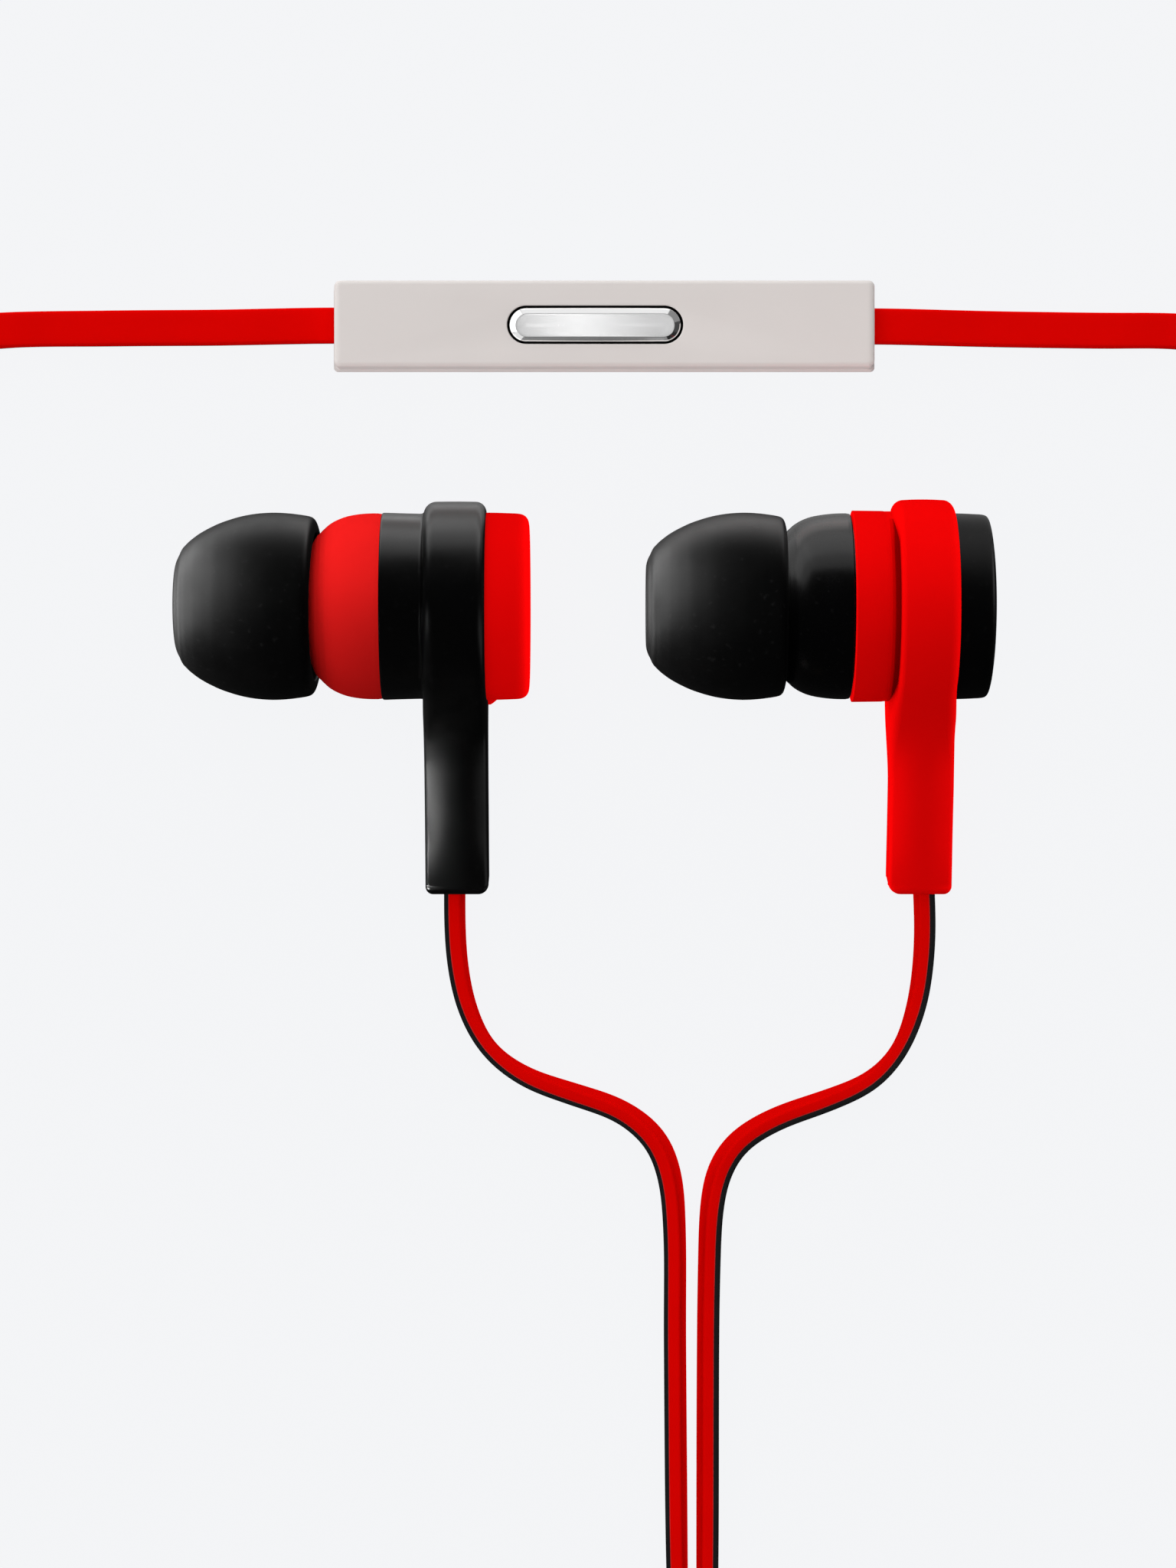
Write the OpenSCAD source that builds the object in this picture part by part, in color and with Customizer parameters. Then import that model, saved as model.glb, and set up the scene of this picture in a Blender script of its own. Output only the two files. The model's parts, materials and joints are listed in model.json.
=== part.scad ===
// Wired in-ear earphones with flat two-tone cable, in-line button remote,
// Y splitter and 3.5 mm four-pole plug. Laid flat on a table, +Z up.
// Origin: middle of the two earpieces, on the table.
// Earpiece parts are drawn about their own axis, with the ear tip towards -X
// and the stem towards -Y; the middle of the strap ring is x = 0.

/* [Earpieces] */
// Distance between the two strap rings, along X
bud_gap = 30.1; // [29.8:0.1:31]
// Outer radius of the strap ring
strap_r = 6.85; // [6.6:0.05:7]
// Width of the strap ring and of the stem
strap_w = 4.15; // [4:0.05:4.4]
// Radius of the band in front of the strap
band_r = 6.12; // [6:0.02:6.3]
// Radius of the back cap
cap_r = 5.95; // [5.8:0.05:6]
// From the axis to the end of the stem
stem_len = 19.1; // [18.1:0.1:20.5]
// Depth of the stem, front to back
stem_depth = 3.9; // [3.7:0.1:4.3]
// Radius of the hollow where the ring runs into the stem
blend_r = 6; // [3:0.5:6]
// Bore of the housing, which the driver sits in
bore_r = 5.3; // [5.25:0.05:5.35]
// Radius of the ear tip's sound opening
sound_r = 2; // [1.6:0.1:2.1]

/* [Driver] */
// Radius of the magnet
magnet_r = 1.6; // [1.3:0.05:1.65]
// Inner radius of the voice coil
coil_r = 1.92; // [1.88:0.02:1.96]
// Gap between moving parts and what surrounds them
driver_gap = 0.2; // [0.15:0.05:0.25]

/* [Remote] */
// Length of the remote
remote_len = 35.3; // [34:0.1:38]
// Width of the remote
remote_w = 5.62; // [5.6:0.02:6.4]
// Height of the remote
remote_h = 4.2; // [4.1:0.1:4.6]
// Length of the button
button_len = 11.3; // [10:0.1:13]
// Width of the button
button_w = 2.3; // [2.2:0.1:2.8]
// Gap round the button
button_gap = 0.1; // [0.08:0.01:0.15]

/* [Cable] */
// Width of the flat cable
cable_w = 2.3; // [2.3:0.05:2.4]
// Thickness of the flat cable
cable_t = 1.2; // [1.2:0.05:1.45]
// Outer turn of the coil that both branches share, at the middle of the pair
pair_coil_r = 16.2; // [16:0.1:16.4]
// Outer turn of the main cable's coil
main_coil_r = 16.5; // [16.2:0.1:16.6]
// Width of the cable ties
tie_w = 5; // [4:0.5:7]
// Thickness of the cable ties
tie_t = 0.42; // [0.38:0.01:0.43]

/* [Splitter] */
// Length of the splitter
splitter_len = 14; // [13.6:0.1:15]
// Width of the splitter
splitter_w = 6.4; // [6:0.1:8]
// Height of the splitter
splitter_h = 3.8; // [3.7:0.1:4.4]

/* [Plug] */
// Radius of the plug's contacts
jack_r = 1.75; // [1.25:0.5:1.75]
// Length of the contacts, from the grip to the tip
jack_len = 14; // [14:0.1:15]
// Radius of the plug's grip
grip_r = 3; // [2.8:0.1:3]
// Length of the plug's grip
grip_len = 12; // [11:0.5:14]

/* [Hidden] */
$fn = 72;
tip_front = -18.1;              // the ear tip's front, from the strap's middle
cap_back = 4.8;                 // the back cap's rear face
end_round = 0.4;                // rounding at the stem's end
edge_round = 0.75;              // rounding along the strap's edges
tip_push = [-0.05, 0.2];        // how much further on each ear tip sits, left and right
// turned about its axis until the ring and the stem's end both touch the table
lean_a = stem_len - end_round;
lean_b = stem_depth / 2 - end_round;
tilt = asin((strap_r - end_round) / sqrt(lean_a * lean_a + lean_b * lean_b)) - atan2(lean_b, lean_a);
reach = lean_a * cos(tilt) + lean_b * sin(tilt) + end_round;
axis_y = (reach - strap_r) / 2;
left_x = -(bud_gap + cap_back + tip_front + tip_push[0]) / 2;
right_x = left_x + bud_gap;
cable_shift = [0.22, 0.33];     // the black layer puts the cable's middle this far outwards, left and right

remote_at = [1.15, 24.6, 0];
button_at = [-0.6, -0.1];       // the button's middle, from the remote's
remote_split = 1.9;             // height of the joint between the two shells
remote_cable_z = 2.1;
remote_cable_y = 0.05;

coil_lift = 0.45;               // the coils lie on their ties
coil_h = 2 * cable_w + 0.1;
pair_coil_at = [-9.2, -78];
pair_coil_in = 11.1;
pair_coil_out = pair_coil_r + 1.5;
main_coil_at = [30.8, -82.5];
main_coil_in = 10.3;
main_coil_out = main_coil_r + 0.75;

splitter_at = [-36.92, -73.2, 0];
plug_at = [-4, -99, 3];         // where the contacts leave the grip; they point to -X
grip_rear = plug_at[0] + grip_len;
relief_len = 12;

// Cable routes: [x, y, z, roll], where roll 90 stands on edge and 0 lies flat.
edge_cut = 0.3;                 // corners of the cable's section
function lying(roll) = let (s = abs(sin(roll)), c = abs(cos(roll)))
    max(cable_w / 2 * s + (cable_t / 2 - edge_cut) * c, (cable_w / 2 - edge_cut) * s + cable_t / 2 * c) + 0.005;
left_route = [
    [-8.6, -10.95, 2.19, 90], [-8.62, -12.5, 1.77, 90], [-8.67, -14.5, 1.39, 88], [-8.5, -17.3, 1.2, 84],
    [-7.85, -20.25, 1.2, 86], [-6.42, -22.9, 1.2, 90], [-4, -24.75, 1.2, 86], [-0.9, -25.9, 1.2, 81],
    [2.35, -27.15, 1.2, 79], [4.55, -29, 1.2, 76], [5.45, -31.4, 1.2, 77], [5.76, -34.8, 1.2, 79],
    [5.82, -42, 1.2, 80], [5.95, -56, 1.2, 80], [6.1, -64, 1.4, 85], [6.25, -71.5, 1.65, 90]
];
right_route = [
    [22.05, -10.95, 2.19, 90], [22.1, -12.5, 1.77, 90], [22.24, -14.8, 1.39, 92], [22.16, -17.34, 1.2, 96],
    [21.75, -20.1, 1.2, 94], [20.6, -23, 1.2, 90], [18.75, -25.05, 1.2, 94], [15.9, -26.32, 1.2, 98],
    [12.4, -27.6, 1.2, 100], [9.93, -29.15, 1.2, 103], [8.78, -31, 1.2, 104], [8.27, -33.1, 1.2, 102],
    [8.05, -38, 1.2, 100], [7.95, -56, 1.2, 100], [7.9, -64, 1.4, 95], [7.75, -71.5, 1.65, 90]
];
left_end_route = [[-23.6, -85.4, 4.1, 90], [-26.4, -82.6, 3.95, 90], [-30.2, -78.8, 2.2, 90], [-33.9, -75.1, 1.9, 90]];
right_end_route = [[-24.7, -86.5, 4.1, 90], [-27.5, -83.7, 3.95, 90], [-31.3, -79.9, 2.2, 90], [-35, -76.2, 1.9, 90]];
main_a_route = concat(
    [[-39.4, -70.7, 1.9, 90], [-42.4, -67.6, 1.75, 90], [-44.9, -64.2, 1.3, 90], [-46.5, -60, 1.2, 90], [-47, -55, 1.2, 90]],
    [for (y = [-43:12:5]) [-47, y, 1.2, 90]],
    [for (a = [180:-30:90]) [-39 + 8 * cos(a), 16.5 + 8 * sin(a), lying(a - 90), a - 90]],
    [[-31, 24.6, 0.61, 0], [-24.5, 24.65, 0.75, 0], [-20.5, 24.67, 1.4, 0], [-17.5, 24.65, 2.05, 0], [-15.2, 24.65, 2.1, 0]]
);
main_b_route = concat(
    [[17.5, 24.65, 2.1, 0], [20, 24.65, 2.05, 0], [23, 24.65, 1.4, 0], [27, 24.6, 0.75, 0], [33.6, 24.5, 0.61, 0]],
    [for (a = [90:-30:0]) [39.3 + 8 * cos(a), 16.45 + 8 * sin(a), lying(90 - a), 90 - a]],
    [for (y = [5:-12:-55]) [47.3, y, 1.2, 90]],
    [[47.3, -66, 1.35, 90], [47.3, -77.6, 1.65, 90]]
);
main_end_route = [[25.8, -99, 4.1, 90], [23, -99, 3.5, 90], [grip_rear + relief_len, -99, 3, 90]];

// ---------- helpers ----------

module at_left() translate([left_x, axis_y, strap_r]) rotate([tilt, 0, 0]) children();
module at_right() translate([right_x, axis_y, strap_r]) rotate([tilt, 0, 0]) children();

// a section of [radius, x] points, turned about the X axis
module turned(pts) rotate([0, 90, 0]) rotate_extrude() polygon(pts);

// [radius, distance behind the ear tip's front] to [radius, x]
function behind(pts) = [for (p = pts) [p[0], tip_front + p[1]]];

// points of an arc about [r, x]
function arc(c, r, a0, a1, n = 6) = [for (i = [0:n]) let (a = a0 + (a1 - a0) * i / n) [c[0] + r * cos(a), c[1] + r * sin(a)]];

module round_rect(w, h, r) {
    square([w - 2 * r, h], center = true);
    square([w, h - 2 * r], center = true);
    for (x = [-1, 1], y = [-1, 1]) translate([x * (w / 2 - r), y * (h / 2 - r)]) circle(r, $fn = 32);
}

module block(size, r = 0.3) linear_extrude(size[2]) round_rect(size[0], size[1], r);

module pill(l, w) {
    square([l - w, w], center = true);
    for (x = [-1, 1]) translate([x * (l - w) / 2, 0]) circle(w / 2, $fn = 48);
}

// flat cable: an eight-sided section swept along a route
function unit(v) = v / norm(v);
function heading(r, i) = let (n = len(r) - 1, a = r[max(i - 1, 0)], b = r[min(i + 1, n)]) unit([b[0] - a[0], b[1] - a[1], b[2] - a[2]]);
function section(w, t, c = edge_cut) = [
    [w / 2, t / 2 - c], [w / 2 - c, t / 2], [c - w / 2, t / 2], [-w / 2, t / 2 - c],
    [-w / 2, c - t / 2], [c - w / 2, -t / 2], [w / 2 - c, -t / 2], [w / 2, c - t / 2]
];
function cable_ring(p, t, w, h) = let (
    side = unit(cross(t, [0, 0, 1])), up = cross(side, t),
    wide = cos(p[3]) * side + sin(p[3]) * up, thin = cos(p[3]) * up - sin(p[3]) * side
) [for (q = section(w, h)) [p[0], p[1], p[2]] + q[0] * wide + q[1] * thin];
module flat_cable(r) {
    n = len(r);
    pts = [for (i = [0:n - 1]) each cable_ring(r[i], heading(r, i), cable_w, cable_t)];
    walls = [for (i = [0:n - 2], k = [0:7]) let (a = 8 * i + k, b = 8 * i + (k + 1) % 8) each [[a, b, b + 8], [a, b + 8, a + 8]]];
    polyhedron(pts, concat([[for (k = [7:-1:0]) k]], walls, [[for (k = [0:7]) 8 * (n - 1) + k]]), convexity = 6);
}

// ---------- earpiece ----------

// silicone dome with a core sleeve that grips the nozzle
module ear_tip() turned(behind([
    [sound_r, 0.3], [sound_r + 0.25, 0.05], [2.6, 0], [3.1, 0.1], [3.53, 0.3], [4, 0.7], [4.8, 1.8], [5.42, 3.05],
    [5.78, 4.16], [6, 5.73], [5.95, 7.3], [5.8, 8.25], [5.68, 8.8], [5.45, 9.1], [5.2, 9.18], [4.95, 9.1],
    [4.9, 8.9], [5.1, 8.2], [5.25, 7.3], [5.3, 5.7], [5.05, 4.16], [4.6, 3.1], [4.1, 2.3], [3.6, 1.9],
    [3.5, 2.1], [3.45, 7.6], [3.3, 7.8], [2.8, 7.8], [2.8, 1.35], [sound_r, 1.2]
]));

// nozzle and domed front of the housing, with a spigot for the bore
module front_shell() turned(behind([
    [1.9, 1.6], [2.55, 1.6], [2.72, 1.9], [2.72, 2.6], [2.5, 2.75], [2.5, 8.2], [2.9, 8.5], [3.2, 8.55], [3.75, 8.68],
    [4.2, 8.93], [4.6, 9.25], [4.95, 9.68], [5.42, 10.48], [5.73, 11.27], [5.88, 12.06], [5.93, 13.15],
    [bore_r - 0.05, 13.15], [bore_r - 0.05, 14.2], [4.6, 14.2], [4.6, 12.6], [4.9, 11.6], [4.7, 10.8],
    [4.2, 10.1], [3.6, 9.6], [2.6, 9.35], [1.9, 9.3]
]));

// woven screen in the nozzle
module nozzle_mesh() turned(behind([[0, 1.95], [1.88, 1.95], [1.88, 2.1], [0, 2.1]]));

// band, strap ring and stem in one moulding; side is 0 for left and 1 for right
blend_z = stem_depth / 2 + blend_r;
blend_y = sqrt(pow(strap_r + blend_r, 2) - pow(blend_z, 2));
blend_k = strap_r / (strap_r + blend_r);
module housing_stem(side) difference() {
    union() {
        turned(concat(
            [[bore_r, -4.95], [band_r - 0.13, -4.95], [band_r, -4.82], [band_r, -2.52], [band_r - 0.06, -2.46], [band_r - 0.24, -2.42], [band_r - 0.24, -strap_w / 2]],
            arc([strap_r - edge_round, edge_round - strap_w / 2], edge_round, -90, 0), arc([strap_r - edge_round, strap_w / 2 - edge_round], edge_round, 0, 90),
            [[bore_r, strap_w / 2]]
        ));
        intersection() {
            rotate([90, 0, 0]) linear_extrude(stem_len) round_rect(strap_w, stem_depth, edge_round);
            linear_extrude(stem_depth + 1, center = true) round_rect(strap_w, 2 * stem_len, 0.55);
            rotate([0, 90, 0]) linear_extrude(strap_w + 1, center = true) round_rect(stem_depth, 2 * stem_len, end_round);
        }
        rotate([0, 90, 0]) linear_extrude(strap_w - 2 * edge_round + 0.2, center = true) difference() {
            polygon([[-blend_z * blend_k, -blend_y * blend_k], [blend_z * blend_k, -blend_y * blend_k], [stem_depth / 2, -blend_y], [-stem_depth / 2, -blend_y]]);
            for (s = [-1, 1]) translate([s * blend_z, -blend_y]) circle(blend_r);
        }
    }
    rotate([0, 90, 0]) cylinder(r = bore_r, h = 12, center = true);
    translate([-1.4, -17.9, -1.3]) cube([2.8, 13, 2.6]);
    translate([(2 * side - 1) * cable_shift[side] - cable_t / 2 - 0.07, -20, -cable_w / 2 - 0.07]) cube([cable_t + 0.14, 3, cable_w + 0.14]);
}

// rear cover; the left one has a nub to tell it by touch
module back_cap(nub = false) difference() {
    union() {
        turned(concat([[0, 1], [bore_r - 0.05, 1], [bore_r - 0.05, strap_w / 2], [cap_r, strap_w / 2]],
            arc([cap_r - 0.4, cap_back - 0.5], 0.4, 0, 80), [[2.5, cap_back - 0.02], [0, cap_back]]));
        if (nub) translate([strap_w / 2, -cap_r - 0.28, -0.8]) cube([0.55, 1, 1.6]);
    }
    rotate([0, 90, 0]) cylinder(r = 4.6, h = 3.85);
}

// ---------- driver ----------

module driver_frame() turned(behind([
    [4.45, 14.25], [bore_r - 0.05, 14.25], [bore_r - 0.05, 16.3], [2.95, 16.3], [2.95, 15.9], [4.45, 15.9]
]));
module driver_diaphragm() turned(behind([
    [0, 14.35], [1, 14.45], [1.7, 14.68], [2.05, 14.88], [2.6, 14.55], [3.2, 14.42], [3.8, 14.55], [4.45 - driver_gap, 14.8],
    [4.45 - driver_gap, 14.92], [3.8, 14.67], [3.2, 14.54], [2.6, 14.67], [2.15, 15], [coil_r, 15], [1.7, 14.8], [1, 14.57], [0, 14.47]
]));
module driver_voice_coil() turned(behind([[coil_r, 15], [coil_r + 0.2, 15], [coil_r + 0.2, 16.45], [coil_r, 16.45]]));
module driver_pole_plate() turned(behind([[0, 15.55], [coil_r - driver_gap, 15.55], [coil_r - driver_gap, 16.05], [0, 16.05]]));
module driver_magnet() turned(behind([[0, 16.05], [magnet_r, 16.05], [magnet_r, 17.25], [0, 17.25]]));
module driver_yoke() turned(behind([
    [0, 17.25], [coil_r + 0.2 + driver_gap, 17.25], [coil_r + 0.2 + driver_gap, 15.55], [2.9, 15.55], [2.9, 17.85], [0, 17.85]
]));
module terminal_board() translate([-1.8, -4.9, -1.3]) cube([0.4, 1.6, 2.6]);
module inner_wires() for (z = [-0.6, 0.6]) {
    translate([-1.4, -4.2, z]) rotate([0, 90, 0]) cylinder(r = 0.3, h = 0.5, $fn = 24);
    translate([-1, -4.2, z]) rotate([90, 0, 0]) cylinder(r = 0.15, h = 11.1, $fn = 24);
}
module cable_clamp() translate([0, -15.3, 0]) rotate([90, 0, 0]) block([2.4, 2.2, 2.3], 0.3);

// ---------- remote ----------

module at_remote() translate(remote_at) children();
module remote_shape(h) linear_extrude(h) round_rect(remote_len, remote_w, 0.35);
module remote_channels() for (x = [-1, 1]) translate([x * remote_len / 2, remote_cable_y, remote_cable_z])
    cube([4, cable_w + 0.14, cable_t + 0.14], center = true);
module remote_back_shell() difference() {
    union() {
        difference() {
            remote_shape(remote_split);
            translate([0, 0, 0.6]) linear_extrude(3) round_rect(remote_len - 1.2, remote_w - 1.2, 0.2);
        }
        for (x = [-11.5, -5, 5, 11.5]) translate([x, 0, 0.3]) cylinder(r = 0.8, h = 0.9, $fn = 32);
    }
    remote_channels();
    translate([9.5, 1.4, -1]) cylinder(r = 0.35, h = 3, $fn = 32);
}
module remote_front_shell() difference() {
    translate([0, 0, remote_split]) remote_shape(remote_h - remote_split);
    translate([0, 0, remote_split - 1]) linear_extrude(remote_h - remote_split + 0.3) round_rect(remote_len - 1.2, remote_w - 1.2, 0.2);
    translate(button_at) linear_extrude(remote_h + 1) pill(button_len + 2 * button_gap, button_w + 2 * button_gap);
    remote_channels();
}
module remote_button() translate(button_at) {
    translate([0, 0, 3.2]) linear_extrude(remote_h - 3.2 + 0.12) pill(button_len, button_w);
    translate([0, 0, 3.05]) linear_extrude(0.35) pill(button_len + 0.9, button_w + 0.9);
}
module remote_circuit_board() difference() {
    translate([0, 0, 1.2]) block([26, 4.2, 0.5], 0.3);
    translate([9.5, 1.4, 0]) cylinder(r = 0.25, h = 3, $fn = 32);
}
module remote_switch_body() translate(button_at) difference() {
    translate([0, 0, 1.7]) block([3.6, 3, 0.8], 0.3);
    translate([0, 0, 1.85]) cylinder(r = 0.6, h = 2, $fn = 48);
}
module remote_switch_plunger() translate([button_at[0], button_at[1], 2.35]) cylinder(r = 0.55, h = 0.7, $fn = 48);
module remote_microphone() translate([9.5, 1, 1.7]) block([2.6, 1.8, 0.7], 0.15);
module remote_cable_clamps() for (x = [-1, 1]) translate([x * (remote_len / 2 - 2.8), 0, 0.6]) block([3, 3.4, 2.3], 0.3);

// ---------- splitter ----------

module at_splitter() translate(splitter_at) rotate([0, 0, 135]) children();
module splitter_solid() difference() {
    linear_extrude(splitter_h) round_rect(splitter_len, splitter_w, 1.2);
    translate([0, 0, 0.75]) linear_extrude(splitter_h - 1.5) round_rect(splitter_len - 2, splitter_w - 1.6, 0.6);
    translate([splitter_len / 2, 0, 1.9]) cube([4, cable_t + 0.16, cable_w + 0.16], center = true);
    for (y = [-0.78, 0.78]) translate([-splitter_len / 2, y, 1.9]) cube([4, cable_t + 0.16, cable_w + 0.16], center = true);
}
module splitter_base() intersection() {
    splitter_solid();
    translate([-20, -20, -1]) cube([40, 40, 2.9]);
}
module splitter_cover() intersection() {
    splitter_solid();
    translate([-20, -20, 1.9]) cube([40, 40, 5]);
}
module splitter_joint() translate([0, 0, 0.8]) block([7, 3.8, 2.2], 0.5);

// ---------- plug, pointing to -X ----------

module at_plug() translate(plug_at) rotate([0, -90, 0]) children();
// z = 0 is where the contacts leave the grip, and +z runs to the tip
module plug_grip() rotate_extrude() polygon(concat(
    [[0, -grip_len], [grip_r - 0.5, -grip_len]], arc([grip_r - 0.5, 0.5 - grip_len], 0.5, -90, 0, 4),
    arc([grip_r - 0.4, -0.9], 0.4, 0, 90, 4), [[2.5, -0.5], [2.4, 0], [0, 0]]
));
module plug_strain_relief() difference() {
    rotate_extrude() polygon([
        [0, -grip_len - relief_len], [1.75, -grip_len - relief_len], [1.95, -grip_len - relief_len + 0.3], [2.5, -grip_len - 0.6], [2.5, -grip_len], [0, -grip_len]
    ]);
    for (k = [0:3]) translate([0, 0, -grip_len - 3 - 2 * k]) rotate_extrude() translate([2.05 - 0.07 * k, 0]) square([2, 0.9]);
}
sleeve_len = jack_len - 8.7;
module contact(z0, z1) translate([0, 0, z0]) cylinder(r = jack_r, h = z1 - z0);
module plug_sleeve() contact(0, sleeve_len);
module plug_ring_ground() contact(sleeve_len + 0.3, sleeve_len + 2.4);
module plug_ring_right() contact(sleeve_len + 2.7, sleeve_len + 4.8);
module plug_insulators() for (z = [0, 2.4, 4.8]) contact(sleeve_len + z, sleeve_len + z + 0.3);
module plug_tip() translate([0, 0, sleeve_len + 5.1]) rotate_extrude() polygon([
    [0, 0], [jack_r, 0], [jack_r, 0.7], [jack_r * 0.69, 1.5], [jack_r * 0.77, 2], [jack_r * 0.925, 2.35], [jack_r * 0.925, 2.5], [jack_r * 0.2, 3.6], [0, 3.6]
]);

// ---------- coils and ties ----------

module coil_solid(at, r0, r1) translate([at[0], at[1], coil_lift]) rotate_extrude($fn = 96) translate([r0, 0]) square([r1 - r0, coil_h]);
module coil_tie(at, r0, r1, turn) translate([at[0], at[1], 0]) rotate([0, 0, turn]) difference() {
    translate([r0 - 0.35 - tie_t, -tie_w / 2, coil_lift - 0.01 - tie_t]) cube([r1 - r0 + 0.37 + 2 * tie_t, tie_w, coil_h + 0.02 + 2 * tie_t]);
    translate([r0 - 0.35, -tie_w, coil_lift - 0.01]) cube([r1 - r0 + 0.37, 2 * tie_w, coil_h + 0.02]);
}

// ---------- pieces ----------

color("#111111") at_left() translate([tip_push[0], 0, 0]) ear_tip();  // ear_tip_left
color("#c8100e") at_left() front_shell();  // front_shell_left
color("#9a9a9a") at_left() nozzle_mesh();  // nozzle_mesh_left
color("#0c0c0c") at_left() housing_stem(0);  // housing_stem_left
color("#c8100e") at_left() back_cap(true);  // back_cap_left
color("#d8d8d0") at_left() driver_frame();  // driver_frame_left
color("#b8c4cc") at_left() driver_diaphragm();  // driver_diaphragm_left
color("#b8763a") at_left() driver_voice_coil();  // driver_voice_coil_left
color("#a8a8ac") at_left() driver_pole_plate();  // driver_pole_plate_left
color("#5a5a60") at_left() driver_magnet();  // driver_magnet_left
color("#b4b4b8") at_left() driver_yoke();  // driver_yoke_left
color("#2f6b3c") at_left() terminal_board();  // terminal_board_left
color("#c07838") at_left() inner_wires();  // inner_wires_left
color("#404044") at_left() cable_clamp();  // cable_clamp_left

color("#111111") at_right() translate([tip_push[1], 0, 0]) ear_tip();  // ear_tip_right
color("#0c0c0c") at_right() front_shell();  // front_shell_right
color("#9a9a9a") at_right() nozzle_mesh();  // nozzle_mesh_right
color("#c8100e") at_right() housing_stem(1);  // housing_stem_right
color("#0c0c0c") at_right() back_cap();  // back_cap_right
color("#d8d8d0") at_right() driver_frame();  // driver_frame_right
color("#b8c4cc") at_right() driver_diaphragm();  // driver_diaphragm_right
color("#b8763a") at_right() driver_voice_coil();  // driver_voice_coil_right
color("#a8a8ac") at_right() driver_pole_plate();  // driver_pole_plate_right
color("#5a5a60") at_right() driver_magnet();  // driver_magnet_right
color("#b4b4b8") at_right() driver_yoke();  // driver_yoke_right
color("#2f6b3c") at_right() terminal_board();  // terminal_board_right
color("#c07838") at_right() inner_wires();  // inner_wires_right
color("#404044") at_right() cable_clamp();  // cable_clamp_right

color("#d2cac8") at_remote() remote_front_shell();
color("#d2cac8") at_remote() remote_back_shell();
color("#e4e4e6") at_remote() remote_button();
color("#303034") at_remote() remote_switch_body();
color("#e0ded8") at_remote() remote_switch_plunger();
color("#2f6b3c") at_remote() remote_circuit_board();
color("#c9b27a") at_remote() remote_microphone();
color("#404044") at_remote() remote_cable_clamps();

color("#d2cac8") at_splitter() splitter_base();
color("#d2cac8") at_splitter() splitter_cover();
color("#404044") at_splitter() splitter_joint();

color("#0c0c0c") at_plug() plug_grip();
color("#c8100e") at_plug() plug_strain_relief();
color("#d8c48a") at_plug() plug_sleeve();
color("#d8c48a") at_plug() plug_ring_ground();
color("#d8c48a") at_plug() plug_ring_right();
color("#d8c48a") at_plug() plug_tip();
color("#141414") at_plug() plug_insulators();

color("#d40805") flat_cable(left_route);  // cable_left
color("#d40805") flat_cable(right_route);  // cable_right
color("#d40805") flat_cable(left_end_route);  // cable_left_end
color("#d40805") flat_cable(right_end_route);  // cable_right_end
color("#d40805") flat_cable(main_a_route);  // cable_main_a
color("#d40805") flat_cable(main_b_route);  // cable_main_b
color("#d40805") flat_cable(main_end_route);  // cable_main_end
color("#d40805") coil_solid(pair_coil_at, pair_coil_in, pair_coil_out);  // coil_branches
color("#d40805") coil_solid(main_coil_at, main_coil_in, main_coil_out);  // coil_main
color("#1a1a1c") coil_tie(pair_coil_at, pair_coil_in, pair_coil_out, 100);  // tie_branches
color("#1a1a1c") coil_tie(main_coil_at, main_coil_in, main_coil_out, 120);  // tie_main
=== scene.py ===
import json
import math
import bmesh
import bpy
import numpy as np
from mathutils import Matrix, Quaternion, Vector
from mathutils.geometry import tessellate_polygon

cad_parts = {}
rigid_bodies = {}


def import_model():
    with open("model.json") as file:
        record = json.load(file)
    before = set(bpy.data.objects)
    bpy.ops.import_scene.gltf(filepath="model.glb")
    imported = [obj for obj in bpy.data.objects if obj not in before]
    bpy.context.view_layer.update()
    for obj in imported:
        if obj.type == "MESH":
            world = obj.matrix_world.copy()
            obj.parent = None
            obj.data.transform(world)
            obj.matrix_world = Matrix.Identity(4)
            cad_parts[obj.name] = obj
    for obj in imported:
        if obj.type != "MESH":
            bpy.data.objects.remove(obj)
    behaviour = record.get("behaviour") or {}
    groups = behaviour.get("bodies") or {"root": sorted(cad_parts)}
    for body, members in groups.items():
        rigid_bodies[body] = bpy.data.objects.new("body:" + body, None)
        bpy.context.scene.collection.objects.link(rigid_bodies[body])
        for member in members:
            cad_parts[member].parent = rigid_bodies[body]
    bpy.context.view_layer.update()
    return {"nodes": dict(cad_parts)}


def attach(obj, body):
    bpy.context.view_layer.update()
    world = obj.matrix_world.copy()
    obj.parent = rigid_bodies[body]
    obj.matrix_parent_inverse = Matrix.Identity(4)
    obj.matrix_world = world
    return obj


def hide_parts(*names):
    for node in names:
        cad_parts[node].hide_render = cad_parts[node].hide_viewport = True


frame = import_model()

scene = bpy.context.scene
MM = 0.001
BODY = "earphones"

# ---------------------------------------------------------------- camera
CENTRE = (0.081, -5.48)          # the view's middle, mm
LENS = 95.0
REFERENCE = 4.0                  # height at which the view is 102.4 mm tall
cam_data = bpy.data.cameras.new("camera")
cam_data.lens = LENS
cam_data.sensor_width = 36.0
cam_data.clip_start, cam_data.clip_end = 0.02, 20.0
camera = bpy.data.objects.new("camera", cam_data)
scene.collection.objects.link(camera)
camera.location = (CENTRE[0] * MM, CENTRE[1] * MM, (REFERENCE + 102.4 * LENS / 36.0) * MM)
scene.camera = camera
scene.view_settings.view_transform = "Standard"

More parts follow.
